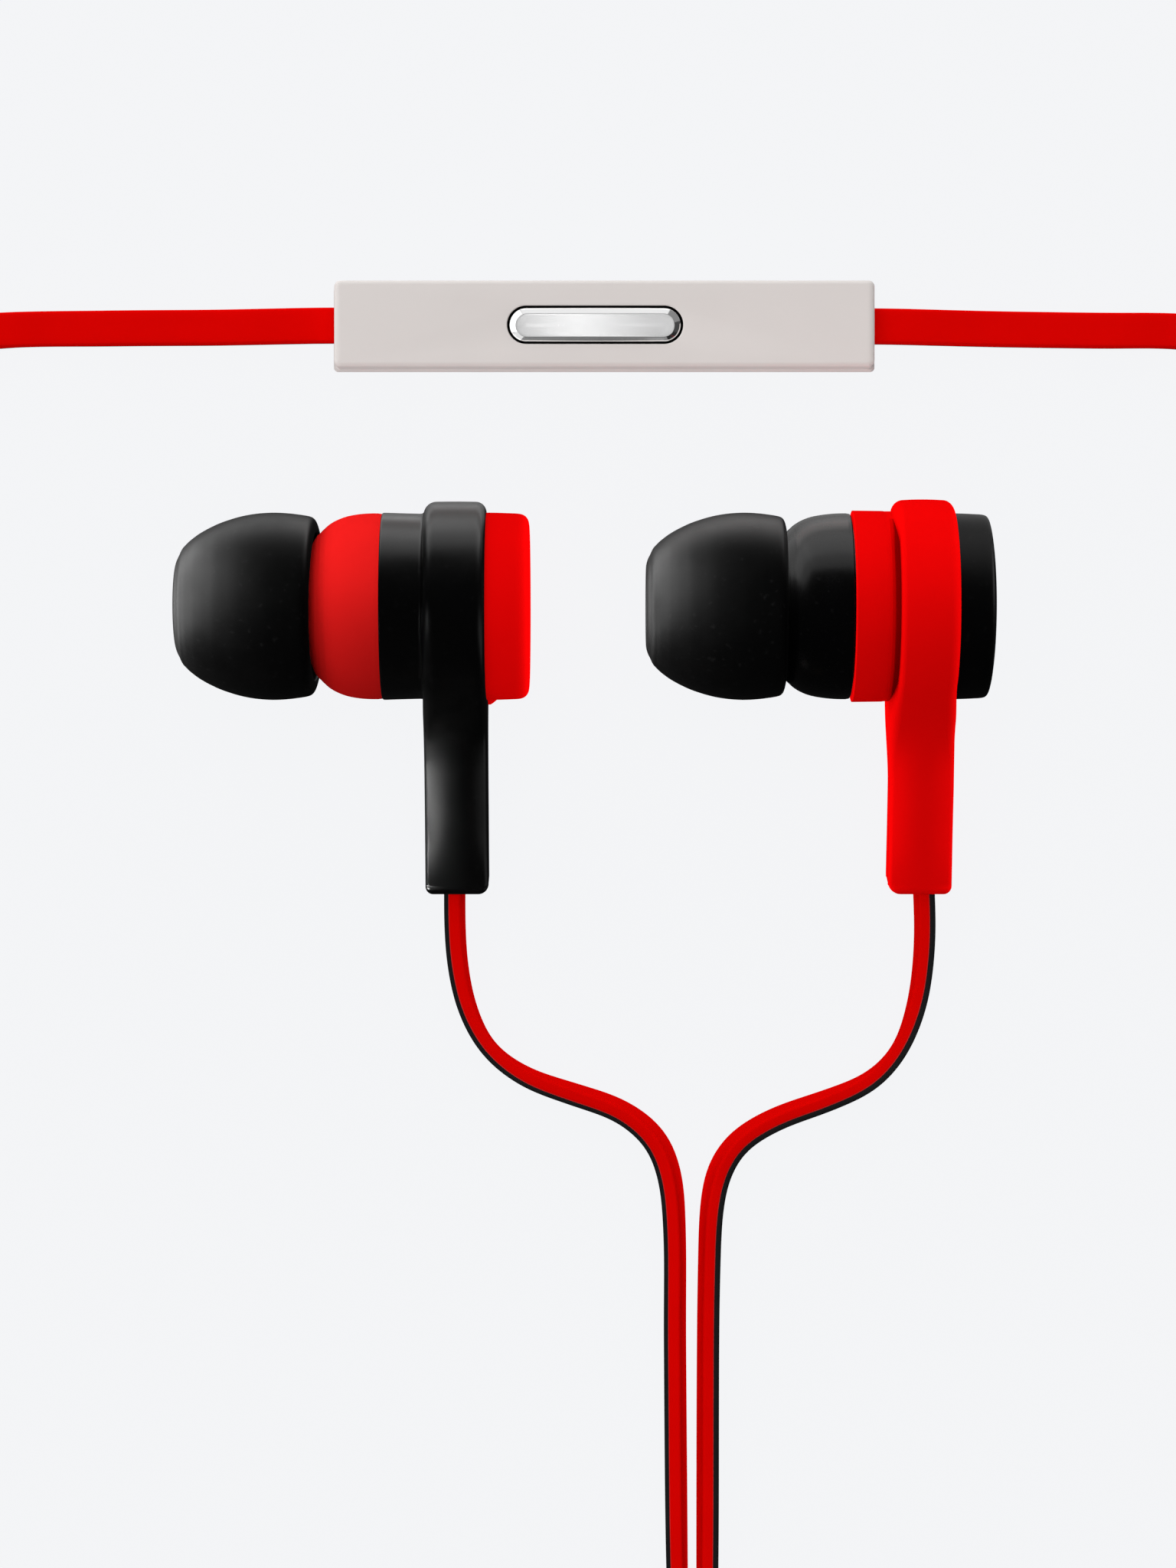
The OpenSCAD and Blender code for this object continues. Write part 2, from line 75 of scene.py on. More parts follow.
# ---------------------------------------------------------------- numbers shared with the construction, mm
bud_gap, strap_r, strap_w, band_r, cap_r = 30.1, 6.85, 4.15, 6.12, 5.95
stem_len, stem_depth, blend_r, bore_r = 19.1, 3.9, 5.0, 5.3
tip_front, cap_back, end_round = -18.1, 4.8, 0.4
tip_push = {"left": -0.05, "right": 0.2}
lean_a, lean_b = stem_len - end_round, stem_depth / 2 - end_round
tilt = math.asin((strap_r - end_round) / math.hypot(lean_a, lean_b)) - math.atan2(lean_b, lean_a)
reach = lean_a * math.cos(tilt) + lean_b * math.sin(tilt) + end_round
axis_y = (reach - strap_r) / 2
left_x = -(bud_gap + cap_back + tip_front + tip_push["left"]) / 2
bud_x = {"left": left_x, "right": left_x + bud_gap}
cable_w, cable_t = 2.3, 1.1
remote_at, remote_len, remote_w, remote_h, remote_split = (1.15, 24.6), 35.3, 5.62, 4.2, 1.9
button_at, button_len, button_w, button_gap = (0.55, 24.5), 11.3, 2.3, 0.1
coil_lift, coil_h = 0.45, 4.7
pair_coil = dict(at=(-9.2, -78.0), r=16.2, r0=11.1, r1=17.7)
main_coil = dict(at=(30.8, -82.5), r=16.5, r0=10.3, r1=17.25)
splitter_at, splitter_len, splitter_w, splitter_h = (-36.92, -73.2), 14.0, 6.4, 3.8
plug_at, grip_len, grip_r, relief_len = (-4.0, -99.0, 3.0), 12.0, 3.0, 12.0

# ---------------------------------------------------------------- geometry helpers


def make(name, verts, faces, mats, index=None, sharp=40.0, scale=MM):
    me = bpy.data.meshes.new(name)
    me.from_pydata((np.asarray(verts, float) * scale).tolist(), [], [list(map(int, f)) for f in faces])
    for m in mats:
        me.materials.append(m)
    if index is not None:
        me.polygons.foreach_set("material_index", np.asarray(index, np.int32))
    me.update()
    bm = bmesh.new()
    bm.from_mesh(me)
    bmesh.ops.recalc_face_normals(bm, faces=bm.faces[:])
    bm.to_mesh(me)
    bm.free()
    me.polygons.foreach_set("use_smooth", np.ones(len(me.polygons), bool))
    if sharp < 180:
        me.set_sharp_from_angle(angle=math.radians(sharp))
    o = bpy.data.objects.new(name, me)
    scene.collection.objects.link(o)
    return o


class Solid:
    """Collects several closed shells into one mesh."""

    def __init__(self):
        self.v, self.f, self.m, self.n = [], [], [], 0

    def add(self, verts, faces, material=0):
        verts = np.asarray(verts, float).reshape(-1, 3)
        self.v.append(verts)
        self.f += [[i + self.n for i in f] for f in faces]
        self.m += list(material) if hasattr(material, "__len__") else [material] * len(faces)
        self.n += len(verts)
        return self

    def mesh(self, name, mats, sharp=40.0, to=None):
        v = np.vstack(self.v)
        return make(name, to(v) if to else v, self.f, mats, self.m, sharp)


def at(side):
    """Maps an earpiece's own axes to the row's."""
    c, s = math.cos(tilt), math.sin(tilt)

    def to(v):
        v = np.asarray(v, float)
        return np.c_[v[:, 0] + bud_x[side], v[:, 1] * c - v[:, 2] * s + axis_y, v[:, 1] * s + v[:, 2] * c + strap_r]
    return to


def turn_z(v, degrees, at=(0, 0, 0)):
    a = math.radians(degrees)
    c, s = math.cos(a), math.sin(a)
    v = np.asarray(v, float)
    return np.c_[v[:, 0] * c - v[:, 1] * s + at[0], v[:, 0] * s + v[:, 1] * c + at[1], v[:, 2] + at[2]]


def catmull(points, step):
    """A centripetal curve through the points, with a sample about every step; columns after the third ride along."""
    p = np.asarray(points, float)
    d = min(3, p.shape[1])
    p = np.vstack([2 * p[0] - p[1], p, 2 * p[-1] - p[-2]])
    out = []
    for i in range(1, len(p) - 2):
        p0, p1, p2, p3 = p[i - 1:i + 3]
        k = [max(np.linalg.norm((b - a)[:d]), 1e-6) ** 0.5 for a, b in ((p0, p1), (p1, p2), (p2, p3))]
        t0, t1 = 0.0, k[0]
        t2 = t1 + k[1]
        t3 = t2 + k[2]
        n = max(1, math.ceil(np.linalg.norm((p2 - p1)[:d]) / step))
        for j in range(n):
            t = t1 + (t2 - t1) * j / n
            a1 = (t1 - t) / (t1 - t0) * p0 + (t - t0) / (t1 - t0) * p1
            a2 = (t2 - t) / (t2 - t1) * p1 + (t - t1) / (t2 - t1) * p2
            a3 = (t3 - t) / (t3 - t2) * p2 + (t - t2) / (t3 - t2) * p3
            b1 = (t2 - t) / (t2 - t0) * a1 + (t - t0) / (t2 - t0) * a2
            b2 = (t3 - t) / (t3 - t1) * a2 + (t - t1) / (t3 - t1) * a3
            out.append((t2 - t) / (t2 - t1) * b1 + (t - t1) / (t2 - t1) * b2)
    out.append(p[-2])
    return np.array(out)


def even(p, step):
    """The same line with samples an even distance apart."""
    p = np.asarray(p, float)
    s = np.r_[0, np.cumsum(np.linalg.norm(np.diff(p[:, :3], axis=0), axis=1))]
    n = max(2, int(round(s[-1] / step)) + 1)
    u = np.linspace(0, s[-1], n)
    return np.c_[tuple(np.interp(u, s, p[:, k]) for k in range(p.shape[1]))]


def relax(p, sigma):
    """Evens out a line's bends over sigma samples; the ends stay."""
    n = int(3 * sigma)
    k = np.exp(-0.5 * (np.arange(-n, n + 1) / sigma) ** 2)
    k /= k.sum()
    q = np.vstack([2 * p[0] - p[n:0:-1], p, 2 * p[-1] - p[-2:-n - 2:-1]])
    return np.c_[tuple(np.convolve(q[:, c], k, "valid") for c in range(p.shape[1]))]


def arc(c, r, a0, a1, n=8):
    a = np.radians(np.linspace(a0, a1, n + 1))
    return [(c[0] + r * math.cos(x), c[1] + r * math.sin(x)) for x in a]


def revolve(profile, n=144):
    """Turns [radius, x] points about the X axis; a profile that doesn't end on the axis is closed into a ring."""
    v, rings = [], []
    a = np.arange(n) * 2 * math.pi / n
    for r, x in profile:
        if r < 1e-6:
            rings.append([len(v)])
            v.append((x, 0, 0))
        else:
            rings.append(list(range(len(v), len(v) + n)))
            v += [(x, r * math.cos(t), r * math.sin(t)) for t in a]
    pairs = list(zip(rings, rings[1:]))
    if len(rings[0]) > 1 and len(rings[-1]) > 1:
        pairs.append((rings[-1], rings[0]))
    f = []
    for p, q in pairs:
        for k in range(n):
            j = (k + 1) % n
            if len(p) == 1 and len(q) == 1:
                break
            if len(p) == 1:
                f.append([p[0], q[j], q[k]])
            elif len(q) == 1:
                f.append([p[k], p[j], q[0]])
            else:
                f.append([p[k], p[j], q[j], q[k]])
    return np.array(v), f


def soft(points, step=0.12):
    """A smooth [radius, x] line through the points."""
    return [tuple(p) for p in catmull(points, step)]


def behind(points):
    return [(r, tip_front + s) for r, s in points]


def strip(loops, closed_ends=True):
    """Skins loops of equal length into a closed surface, with flat ends."""
    n = len(loops[0])
    v = np.vstack(loops)
    f = []
    for i in range(len(loops) - 1):
        for k in range(n):
            j = (k + 1) % n
            f.append([i * n + k, i * n + j, (i + 1) * n + j, (i + 1) * n + k])
    if closed_ends:
        f.append(list(range(n))[::-1])
        f.append([(len(loops) - 1) * n + k for k in range(n)])
    return v, f


def rounded_loop(length, width, r, per=8):
    """Points round a rounded rectangle's outline, anticlockwise."""
    out = []
    for cx, cy, a in ((length / 2 - r, width / 2 - r, 0), (r - length / 2, width / 2 - r, 90),
                      (r - length / 2, r - width / 2, 180), (length / 2 - r, r - width / 2, 270)):
        out += arc((cx, cy), r, a, a + 90, per)
    return np.array(out)


def pill_loop(length, width, per=32):
    r = width / 2
    return np.array(arc((length / 2 - r, 0), r, -90, 90, per) + arc((r - length / 2, 0), r, 90, 270, per))


def tube(path, r, n=8, closed=False):
    """A round tube along a path."""
    p = np.asarray(path, float)
    t = np.gradient(p, axis=0)
    t /= np.linalg.norm(t, axis=1)[:, None]
    up = np.array([0.0, 0.0, 1.0]) if abs(t[0][2]) < 0.9 else np.array([0.0, 1.0, 0.0])
    loops = []
    for q, d in zip(p, t):
        side = np.cross(d, up)
        side /= np.linalg.norm(side)
        up = np.cross(side, d)
        a = np.arange(n) * 2 * math.pi / n
        loops.append(q + r * (np.cos(a)[:, None] * side + np.sin(a)[:, None] * up))
    return strip(loops)


# ---------------------------------------------------------------- materials


def material(name, color, rough, metallic=0.0, specular=0.5, tone=0.05, tone_scale=350.0, rough_spread=0.05,
             rough_scale=600.0, grain=0.0, grain_scale=5000.0, wave=0.0, wave_scale=60.0, dust=0.0,
             coat=0.0, coat_rough=0.1, sheen=0.0, sheen_rough=0.4, ior=1.5, subsurface=0.0):
    """Moulded or metal surface: cloudy colour, uneven gloss, fine grain and a slow waviness, all in object space."""
    m = bpy.data.materials.new(name)
    m.use_nodes = True
    n, l = m.node_tree.nodes, m.node_tree.links
    b = n["Principled BSDF"]
    b.inputs["Metallic"].default_value = metallic
    b.inputs["IOR"].default_value = ior
    b.inputs["Specular IOR Level"].default_value = specular
    b.inputs["Coat Weight"].default_value = coat
    b.inputs["Coat Roughness"].default_value = coat_rough
    b.inputs["Sheen Weight"].default_value = sheen
    b.inputs["Sheen Roughness"].default_value = sheen_rough
    m.diffuse_color = (*color, 1)
    tc = n.new("ShaderNodeTexCoord")

    def noise(scale, detail=3.0, roughness=0.55):
        t = n.new("ShaderNodeTexNoise")
        t.inputs["Scale"].default_value = scale
        t.inputs["Detail"].default_value = detail
        t.inputs["Roughness"].default_value = roughness
        l.new(tc.outputs["Object"], t.inputs["Vector"])
        return t

    def ramp(src, lo, hi, a=0.3, z=0.7):
        r = n.new("ShaderNodeMapRange")
        r.inputs["From Min"].default_value = a
        r.inputs["From Max"].default_value = z
        r.inputs["To Min"].default_value = lo
        r.inputs["To Max"].default_value = hi
        l.new(src, r.inputs["Value"])
        return r.outputs["Result"]

    cloud = noise(tone_scale, 4.0)
    mix = n.new("ShaderNodeMix")
    mix.data_type = "RGBA"
    mix.inputs["A"].default_value = (*[max(0.0, c * (1 - tone)) for c in color], 1)
    mix.inputs["B"].default_value = (*[min(1.0, c * (1 + tone)) for c in color], 1)
    l.new(ramp(cloud.outputs["Fac"], 0.0, 1.0), mix.inputs["Factor"])
    base = mix.outputs["Result"]
    if dust > 0:
        specks = noise(2600.0, 1.0)
        lint = n.new("ShaderNodeMix")
        lint.data_type = "RGBA"
        lint.inputs["B"].default_value = (*[c + (0.35 - c) * 0.12 for c in color], 1)
        l.new(base, lint.inputs["A"])
        l.new(ramp(specks.outputs["Fac"], 0.0, dust, 0.66, 0.76), lint.inputs["Factor"])
        base = lint.outputs["Result"]
    l.new(base, b.inputs["Base Color"])
    smear = noise(rough_scale, 3.0, 0.6)
    l.new(ramp(smear.outputs["Fac"], max(0.02, rough - rough_spread), min(1.0, rough + rough_spread)), b.inputs["Roughness"])
    last = None
    for amount, scale, detail in ((wave, wave_scale, 1.0), (grain, grain_scale, 2.0)):
        if amount <= 0:
            continue
        bump = n.new("ShaderNodeBump")
        bump.inputs["Strength"].default_value = 1.0
        bump.inputs["Distance"].default_value = amount * MM
        l.new(noise(scale, detail).outputs["Fac"], bump.inputs["Height"])
        if last:
            l.new(last.outputs["Normal"], bump.inputs["Normal"])
        last = bump
    if last:
        l.new(last.outputs["Normal"], b.inputs["Normal"])
    return m


def brushed(name, color, rough, axis, scale=9000.0, depth=0.0006, tone=0.05):
    """Metal with fine lines along one axis."""
    m = material(name, color, rough, metallic=1.0, tone=tone, rough_spread=0.03)
    n, l = m.node_tree.nodes, m.node_tree.links
    b = n["Principled BSDF"]
    tc = n.new("ShaderNodeTexCoord")
    mp = n.new("ShaderNodeMapping")
    s = [1.0, 1.0, 1.0]
    s[axis] = 0.02
    mp.inputs["Scale"].default_value = s
    l.new(tc.outputs["Object"], mp.inputs["Vector"])
    t = n.new("ShaderNodeTexNoise")
    t.inputs["Scale"].default_value = scale
    t.inputs["Detail"].default_value = 2.0
    l.new(mp.outputs["Vector"], t.inputs["Vector"])
    bump = n.new("ShaderNodeBump")
    bump.inputs["Distance"].default_value = depth * MM
    l.new(t.outputs["Fac"], bump.inputs["Height"])
    l.new(bump.outputs["Normal"], b.inputs["Normal"])
    return m


RED = (0.70, 0.0022, 0.0016)
M_silicone = material("silicone_black", (0.0009, 0.0009, 0.00095), 0.46, specular=0.5, tone=0.12, tone_scale=260, rough_spread=0.03,
                      grain=0.0012, grain_scale=9000, wave=0.004, wave_scale=420, dust=0.1)
M_black = material("shell_black", (0.0007, 0.0007, 0.0008), 0.26, specular=0.5, tone=0.1, rough_spread=0.03, grain=0.0004,
                   grain_scale=6000, wave=0.002, wave_scale=300, dust=0.05)
M_black_cap = material("cap_black", (0.0007, 0.0007, 0.0008), 0.4, specular=0.4, tone=0.1, rough_spread=0.03, grain=0.0006,
                       grain_scale=6000, wave=0.002, wave_scale=300, dust=0.05)
M_black_satin = material("housing_black", (0.0007, 0.0007, 0.0008), 0.34, specular=0.55, tone=0.1, rough_spread=0.03,
                         grain=0.0008, grain_scale=7000, wave=0.002, wave_scale=300, dust=0.05)
M_red = material("shell_red", (0.68, 0.0011, 0.0013), 0.4, specular=0.0, tone=0.02, tone_scale=240, rough_spread=0.04,
                 grain=0.0006, grain_scale=6500, wave=0.002, wave_scale=260)
# painted shade: darker copies of the shell red, in three steps, for the shadow in the groove between band and ring
M_red_painted_shade = [material(f"shell_red_{k}", (r, 0.0006, 0.0006), 0.5, specular=0.0, tone=0.02, tone_scale=240, rough_spread=0.04,
                       grain=0.0006, grain_scale=6500, wave=0.002, wave_scale=260) for k, r in (("deep", 0.55), ("deeper", 0.4), ("deepest", 0.24))]
M_red_dome = material("dome_red", (0.58, 0.0092, 0.0085), 0.42, specular=0.0, tone=0.025, tone_scale=240, rough_spread=0.04,
                      grain=0.0006, grain_scale=6500, wave=0.002, wave_scale=260)
M_cable_red = material("cable_red", (0.80, 0.0012, 0.0006), 0.55, specular=0.0, tone=0.02, rough_spread=0.05,
                       grain=0.0014, grain_scale=5200)
M_cable_black = material("cable_black", (0.009, 0.009, 0.0095), 0.42, specular=0.45, tone=0.1, rough_spread=0.05,
                         grain=0.0012, grain_scale=5200)
# painted highlight: a light pinkish red for the thin strip along the red layer's edge beside the black
M_cable_painted_highlight = material("cable_painted_highlight", (0.66, 0.03, 0.03), 0.4, specular=0.0, tone=0.1, rough_spread=0.05, grain=0.001, grain_scale=5200)
M_remote = material("remote_grey", (0.682, 0.641, 0.622), 0.42, specular=0.12, tone=0.012, tone_scale=140, rough_spread=0.04,
                    grain=0.0007, grain_scale=8000)
# painted shade: near-black for the walls and floors of the case's holes and for the button's hidden walls and flange,
# where shade falls
M_painted_shade = material("painted_shade_black", (0.004, 0.004, 0.004), 0.6, specular=0.0)
M_chrome = brushed("button_chrome", (0.92, 0.92, 0.92), 0.1, 0, scale=5000, depth=0.00003, tone=0.008)
M_gold = brushed("plug_metal", (0.92, 0.74, 0.42), 0.16, 1, scale=7000, depth=0.0004)
M_steel = brushed("steel", (0.62, 0.62, 0.63), 0.3, 2)
M_copper = material("copper", (0.75, 0.36, 0.18), 0.3, metallic=1.0, tone=0.1, grain=0.002, grain_scale=4000)
M_magnet = material("magnet_grey", (0.28, 0.28, 0.30), 0.35, metallic=1.0, tone=0.1, grain=0.002, grain_scale=3000)
M_film = material("diaphragm_film", (0.62, 0.68, 0.72), 0.22, specular=0.5, tone=0.05, grain=0.002, grain_scale=2500, coat=0.3)
M_driver = material("driver_plastic", (0.78, 0.78, 0.74), 0.5, tone=0.04, grain=0.002, grain_scale=3000)
M_board = material("board_green", (0.03, 0.22, 0.07), 0.35, tone=0.12, grain=0.002, grain_scale=2500, coat=0.4)
M_dark = material("dark_fittings", (0.03, 0.03, 0.033), 0.5, tone=0.1, grain=0.003, grain_scale=3000)


def tie_material(name, color):
    """Woven hook-and-loop tape: two crossed sets of yarns."""
    m = material(name, color, 0.85, specular=0.2, tone=0.2, sheen=0.4, sheen_rough=0.5)
    n, l = m.node_tree.nodes, m.node_tree.links
    b = n["Principled BSDF"]
    tc = n.new("ShaderNodeTexCoord")
    t = n.new("ShaderNodeTexVoronoi")
    t.inputs["Scale"].default_value = 3200.0
    l.new(tc.outputs["Object"], t.inputs["Vector"])
    w = n.new("ShaderNodeTexNoise")
    w.inputs["Scale"].default_value = 1500.0
    l.new(tc.outputs["Object"], w.inputs["Vector"])
    add = n.new("ShaderNodeMath")
    add.operation = "ADD"
    l.new(t.outputs["Distance"], add.inputs[0])
    l.new(w.outputs["Fac"], add.inputs[1])
    bump = n.new("ShaderNodeBump")
    bump.inputs["Distance"].default_value = 0.05 * MM
    l.new(add.outputs["Value"], bump.inputs["Height"])
    l.new(bump.outputs["Normal"], b.inputs["Normal"])
    return m


M_tie = tie_material("tie_fabric", (0.016, 0.016, 0.018))

# ---------------------------------------------------------------- cables: the routes of the construction


CORNER = 0.2                     # rounding of the cable's red layer


def lying(roll):
    """Height of the cable's middle when it rests on the floor at this roll."""
    s, c = abs(math.sin(math.radians(roll))), abs(math.cos(math.radians(roll)))
    return (cable_w / 2 - CORNER) * s + (cable_t / 2 - CORNER) * c + CORNER + 0.01


# the branches stand on edge and lean outwards, most in the second bend
left_route = [
    (-8.67, -10.95, 2.19, 82.4), (-8.68, -12.5, 1.77, 82.4), (-8.69, -14.5, 1.39, 82.6), (-8.52, -17.3, 1.2, 83.8),
    (-7.89, -20.26, 1.2, 86.8), (-6.5, -22.95, 1.2, 92.2), (-4.07, -24.79, 1.2, 86.9), (-0.91, -25.93, 1.2, 81.9),
    (2.32, -27.08, 1.2, 79.8), (4.56, -28.95, 1.2, 74.3), (5.5, -31.37, 1.2, 74.4), (5.8, -34.8, 1.2, 77.1),
    (5.83, -42, 1.2, 77.4), (5.95, -56, 1.2, 78.5), (6.1, -64, 1.4, 85), (6.25, -71.5, 1.65, 90),
]
right_route = [
    (22.1, -10.95, 2.19, 95.2), (22.18, -12.5, 1.77, 95.3), (22.29, -14.8, 1.39, 95), (22.19, -17.34, 1.2, 93.9),
    (21.76, -20.11, 1.2, 91.4), (20.62, -23.11, 1.2, 85), (18.78, -25.06, 1.2, 90.4), (15.93, -26.34, 1.2, 96.3),
    (12.41, -27.6, 1.2, 99), (9.91, -29.16, 1.2, 101.5), (8.74, -30.98, 1.2, 104.8), (8.27, -33.1, 1.2, 102.2),
    (8.05, -38, 1.2, 100), (7.95, -56, 1.2, 99.6), (7.9, -64, 1.4, 95), (7.75, -71.5, 1.65, 90),
]
left_end = [(-23.6, -85.4, 4.1, 90), (-26.4, -82.6, 3.95, 90), (-30.2, -78.8, 2.2, 90), (-33.9, -75.1, 1.9, 90)]
right_end = [(-24.7, -86.5, 4.1, 90), (-27.5, -83.7, 3.95, 90), (-31.3, -79.9, 2.2, 90), (-35, -76.2, 1.9, 90)]
main_a = [(-39.4, -70.7, 1.9, 90), (-42.4, -67.6, 1.75, 90), (-44.9, -64.2, 1.3, 90), (-46.5, -60, 1.2, 90), (-47, -55, 1.2, 90)]
main_a += [(-47, y, 1.2, 90) for y in (-43, -31, -19, -7, 5)]
main_a += [(-39 + 8 * math.cos(math.radians(a)), 16.5 + 8 * math.sin(math.radians(a)), lying(a - 90), a - 90) for a in (180, 165, 150, 135, 120, 105, 90)]
main_a += [(-31, 24.65, 0.6, 0), (-24.5, 24.68, 0.75, 0), (-20.5, 24.68, 1.45, 0), (-17.5, 24.67, 2.05, 0), (-15.2, 24.66, 2.1, 0)]
main_b = [(17.5, 24.62, 2.1, 0), (20, 24.61, 2.05, 0), (23, 24.6, 1.45, 0), (27, 24.58, 0.75, 0), (33.6, 24.5, 0.6, 0)]
main_b += [(39.3 + 8 * math.cos(math.radians(a)), 16.45 + 8 * math.sin(math.radians(a)), lying(90 - a), 90 - a) for a in (90, 75, 60, 45, 30, 15, 0)]
main_b += [(47.3, y, 1.2, 90) for y in (5, -7, -19, -31, -43, -55)]
main_b += [(47.3, -66, 1.35, 90), (47.3, -77.6, 1.65, 90)]
main_end = [(25.8, -99, 4.1, 90), (23, -99, 3.5, 90), (16, -99, 3, 90)]


def ease(x):
    x = min(1.0, max(0.0, x))
    return x * x * (3 - 2 * x)


def winding(coil, turn, drop, offset, step=3.0):
    """Two layers of a flat cable on edge: inwards along the bottom, up, and outwards along the top, clockwise from angle 0."""
    out = []
    n = int(round(2 * turn / step))
    for i in range(n + 1):
        phi = 2 * turn * i / n
        r = coil["r"] + offset - drop * (1 - abs(phi - turn) / turn)
        z = coil_lift + 1.16 + 2.38 * ease((phi - turn + 20) / 40)
        a = -math.radians(phi)
        out.append((coil["at"][0] + r * math.cos(a), coil["at"][1] + r * math.sin(a), z, 90))
    return out


def section(red_side, layer):
    """The cable's outline, [across the width, across the thickness], with the layer each piece of it belongs to:
    0 red core, 1 black skin, 2 a painted highlight: a thin pinkish strip where they meet."""
    w, t, r1, r2, g = cable_w / 2, cable_t / 2, CORNER, 0.1, 0.03
    y = t - layer
    pts, kind = [], []

    def run(points, k):
        for p in points:
            pts.append(p)
            kind.append(k)
    run(arc((-w + r1, -t + r1), r1, 180, 270, 5), 0)
    run([(x, -t) for x in np.linspace(-w + r1, w - r1, 6)[1:-1]], 0)
    run(arc((w - r1, -t + r1), r1, 270, 360, 5), 0)
    run([(w, 0.0)], 0)
    run([(w, y - 0.055)], 2)
    run([(w - g, y)], 1)
    run([(w - 0.005, y + 0.035)], 1)
    run(arc((w - r2, t - r2), r2, 0, 90, 4), 1)
    run([(x, t) for x in np.linspace(w - r2, -w + r2, 6)[1:-1]], 1)
    run(arc((-w + r2, t - r2), r2, 90, 180, 4), 1)
    run([(-w + 0.005, y + 0.035)], 1)
    run([(-w + g, y)], 2)
    run([(-w, y - 0.055)], 0)
    run([(-w, 0.0)], 0)
    # the red layer is at -t here; red_side +1 puts it on the + side of the thickness
    return np.array([(a, -b * red_side) for a, b in pts]), kind


def cable(name, parts, red_side, layer=0.3, sigma=2.5, step=0.35):
    p = np.vstack([catmull(q, step) if k == "route" else np.array(q) for k, q in parts])
    keep = np.r_[True, np.linalg.norm(np.diff(p[:, :3], axis=0), axis=1) > 0.02]
    p = even(p[keep], step)
    p = relax(p, sigma)
    p[:, 2] = np.maximum(p[:, 2], [lying(q) for q in p[:, 3]])
    t = np.gradient(p[:, :3], axis=0)
    t /= np.linalg.norm(t, axis=1)[:, None]
    outline, kind = section(red_side, layer)
    loops = []
    for (x, y, z, roll), d in zip(p, t):
        side = np.cross(d, (0, 0, 1.0))
        side /= np.linalg.norm(side)
        up = np.cross(side, d)
        c, s = math.cos(math.radians(roll)), math.sin(math.radians(roll))
        wide, thin = c * side + s * up, c * up - s * side
        loops.append(np.array((x, y, z)) + outline[:, :1] * wide + outline[:, 1:] * thin)
    v, f = strip(loops)
    n = len(outline)
    mats = [kind[k] for _ in range(len(loops) - 1) for k in range(n)] + [0, 0]
    o = make(name, v, f, [M_cable_red, M_cable_black, M_cable_painted_highlight], mats, sharp=50)
    return o, p[:, :3]


cords = {}
for name, parts, red in (
    ("cord_left", (("route", left_route), ("coil", winding(pair_coil, 427.5, 3.5625, -0.75)), ("route", left_end)), 1),
    ("cord_right", (("route", right_route), ("coil", winding(pair_coil, 427.5, 3.5625, 0.75)), ("route", right_end)), -1),
    ("cord_splitter_to_remote", (("route", main_a),), 1),
    ("cord_remote_to_plug", (("route", main_b), ("coil", winding(main_coil, 1305.0, 5.4375, 0.0)), ("route", main_end)), 1),
):
    o, p = cable(name, parts, red, 0.38 if name == "cord_right" else 0.3)
    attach(o, BODY)
    cords[name] = (o, p)
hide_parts("cable_left", "cable_left_end", "coil_branches")
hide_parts("cable_right", "cable_right_end", "coil_branches")
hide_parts("cable_main_a")
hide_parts("cable_main_b", "cable_main_end", "coil_main")

# ---------------------------------------------------------------- earpieces


def ear_tip(side):
    outer = [(2.02, 1.05), (2.0, 0.62), (2.02, 0.33), (2.1, 0.14), (2.25, 0.04), (2.5, 0.0), (2.8, 0.04), (3.1, 0.14), (3.35, 0.27), (3.6, 0.38),
             (3.8, 0.5), (3.97, 0.66), (4.17, 0.86), (4.33, 1.05), (4.5, 1.27), (4.67, 1.51), (4.93, 1.95), (5.14, 2.36), (5.33, 2.77), (5.48, 3.16),
             (5.61, 3.55), (5.73, 3.95), (5.83, 4.35), (5.91, 4.76), (5.97, 5.16), (6.01, 5.55), (6.035, 5.95), (6.045, 6.35), (6.035, 6.8),
             (6.01, 7.2), (5.98, 7.55), (5.93, 7.95), (5.88, 8.32)]
    back = [(5.81, 8.68), (5.74, 8.86), (5.62, 8.99), (5.46, 9.07), (5.25, 9.13), (5.0, 9.18), (4.86, 9.19), (4.78, 9.14), (4.76, 9.03)]
    inner = [(4.82, 8.9), (4.92, 8.7), (5.04, 8.35), (5.14, 7.9), (5.24, 7.3), (5.31, 6.4), (5.29, 5.6), (5.2, 4.8), (5.05, 4.16), (4.85, 3.6),
             (4.6, 3.1), (4.32, 2.62), (4.05, 2.25), (3.85, 2.05), (3.68, 2.0), (3.54, 2.1), (3.49, 2.4), (3.48, 3.5), (3.47, 5.0), (3.46, 6.5),
             (3.44, 7.4), (3.38, 7.68), (3.25, 7.8), (3.05, 7.82), (2.88, 7.78), (2.81, 7.62), (2.8, 7.2), (2.8, 5.0), (2.8, 3.0), (2.8, 1.75),
             (2.76, 1.45), (2.6, 1.3), (2.35, 1.24), (2.12, 1.22), (2.04, 1.17)]
    v, f = revolve(behind(soft(outer + back + inner, 0.11)), 192)
    # the skirt is soft: it doesn't sit quite square on the nozzle
    late = np.array([ease((x - tip_front - 5.0) / 4.0) for x in v[:, 0]])
    skirt = late * np.clip((np.hypot(v[:, 1], v[:, 2]) - 4.0) / 0.6, 0, 1)
    v[:, 0] += tip_push[side] + skirt * (-0.11 - 0.045 * v[:, 2] if side == "left" else -0.14 - 0.012 * v[:, 2])
    return Solid().add(v, f).mesh(f"ear_tip_{side}_silicone", [M_silicone], 60, at(side))


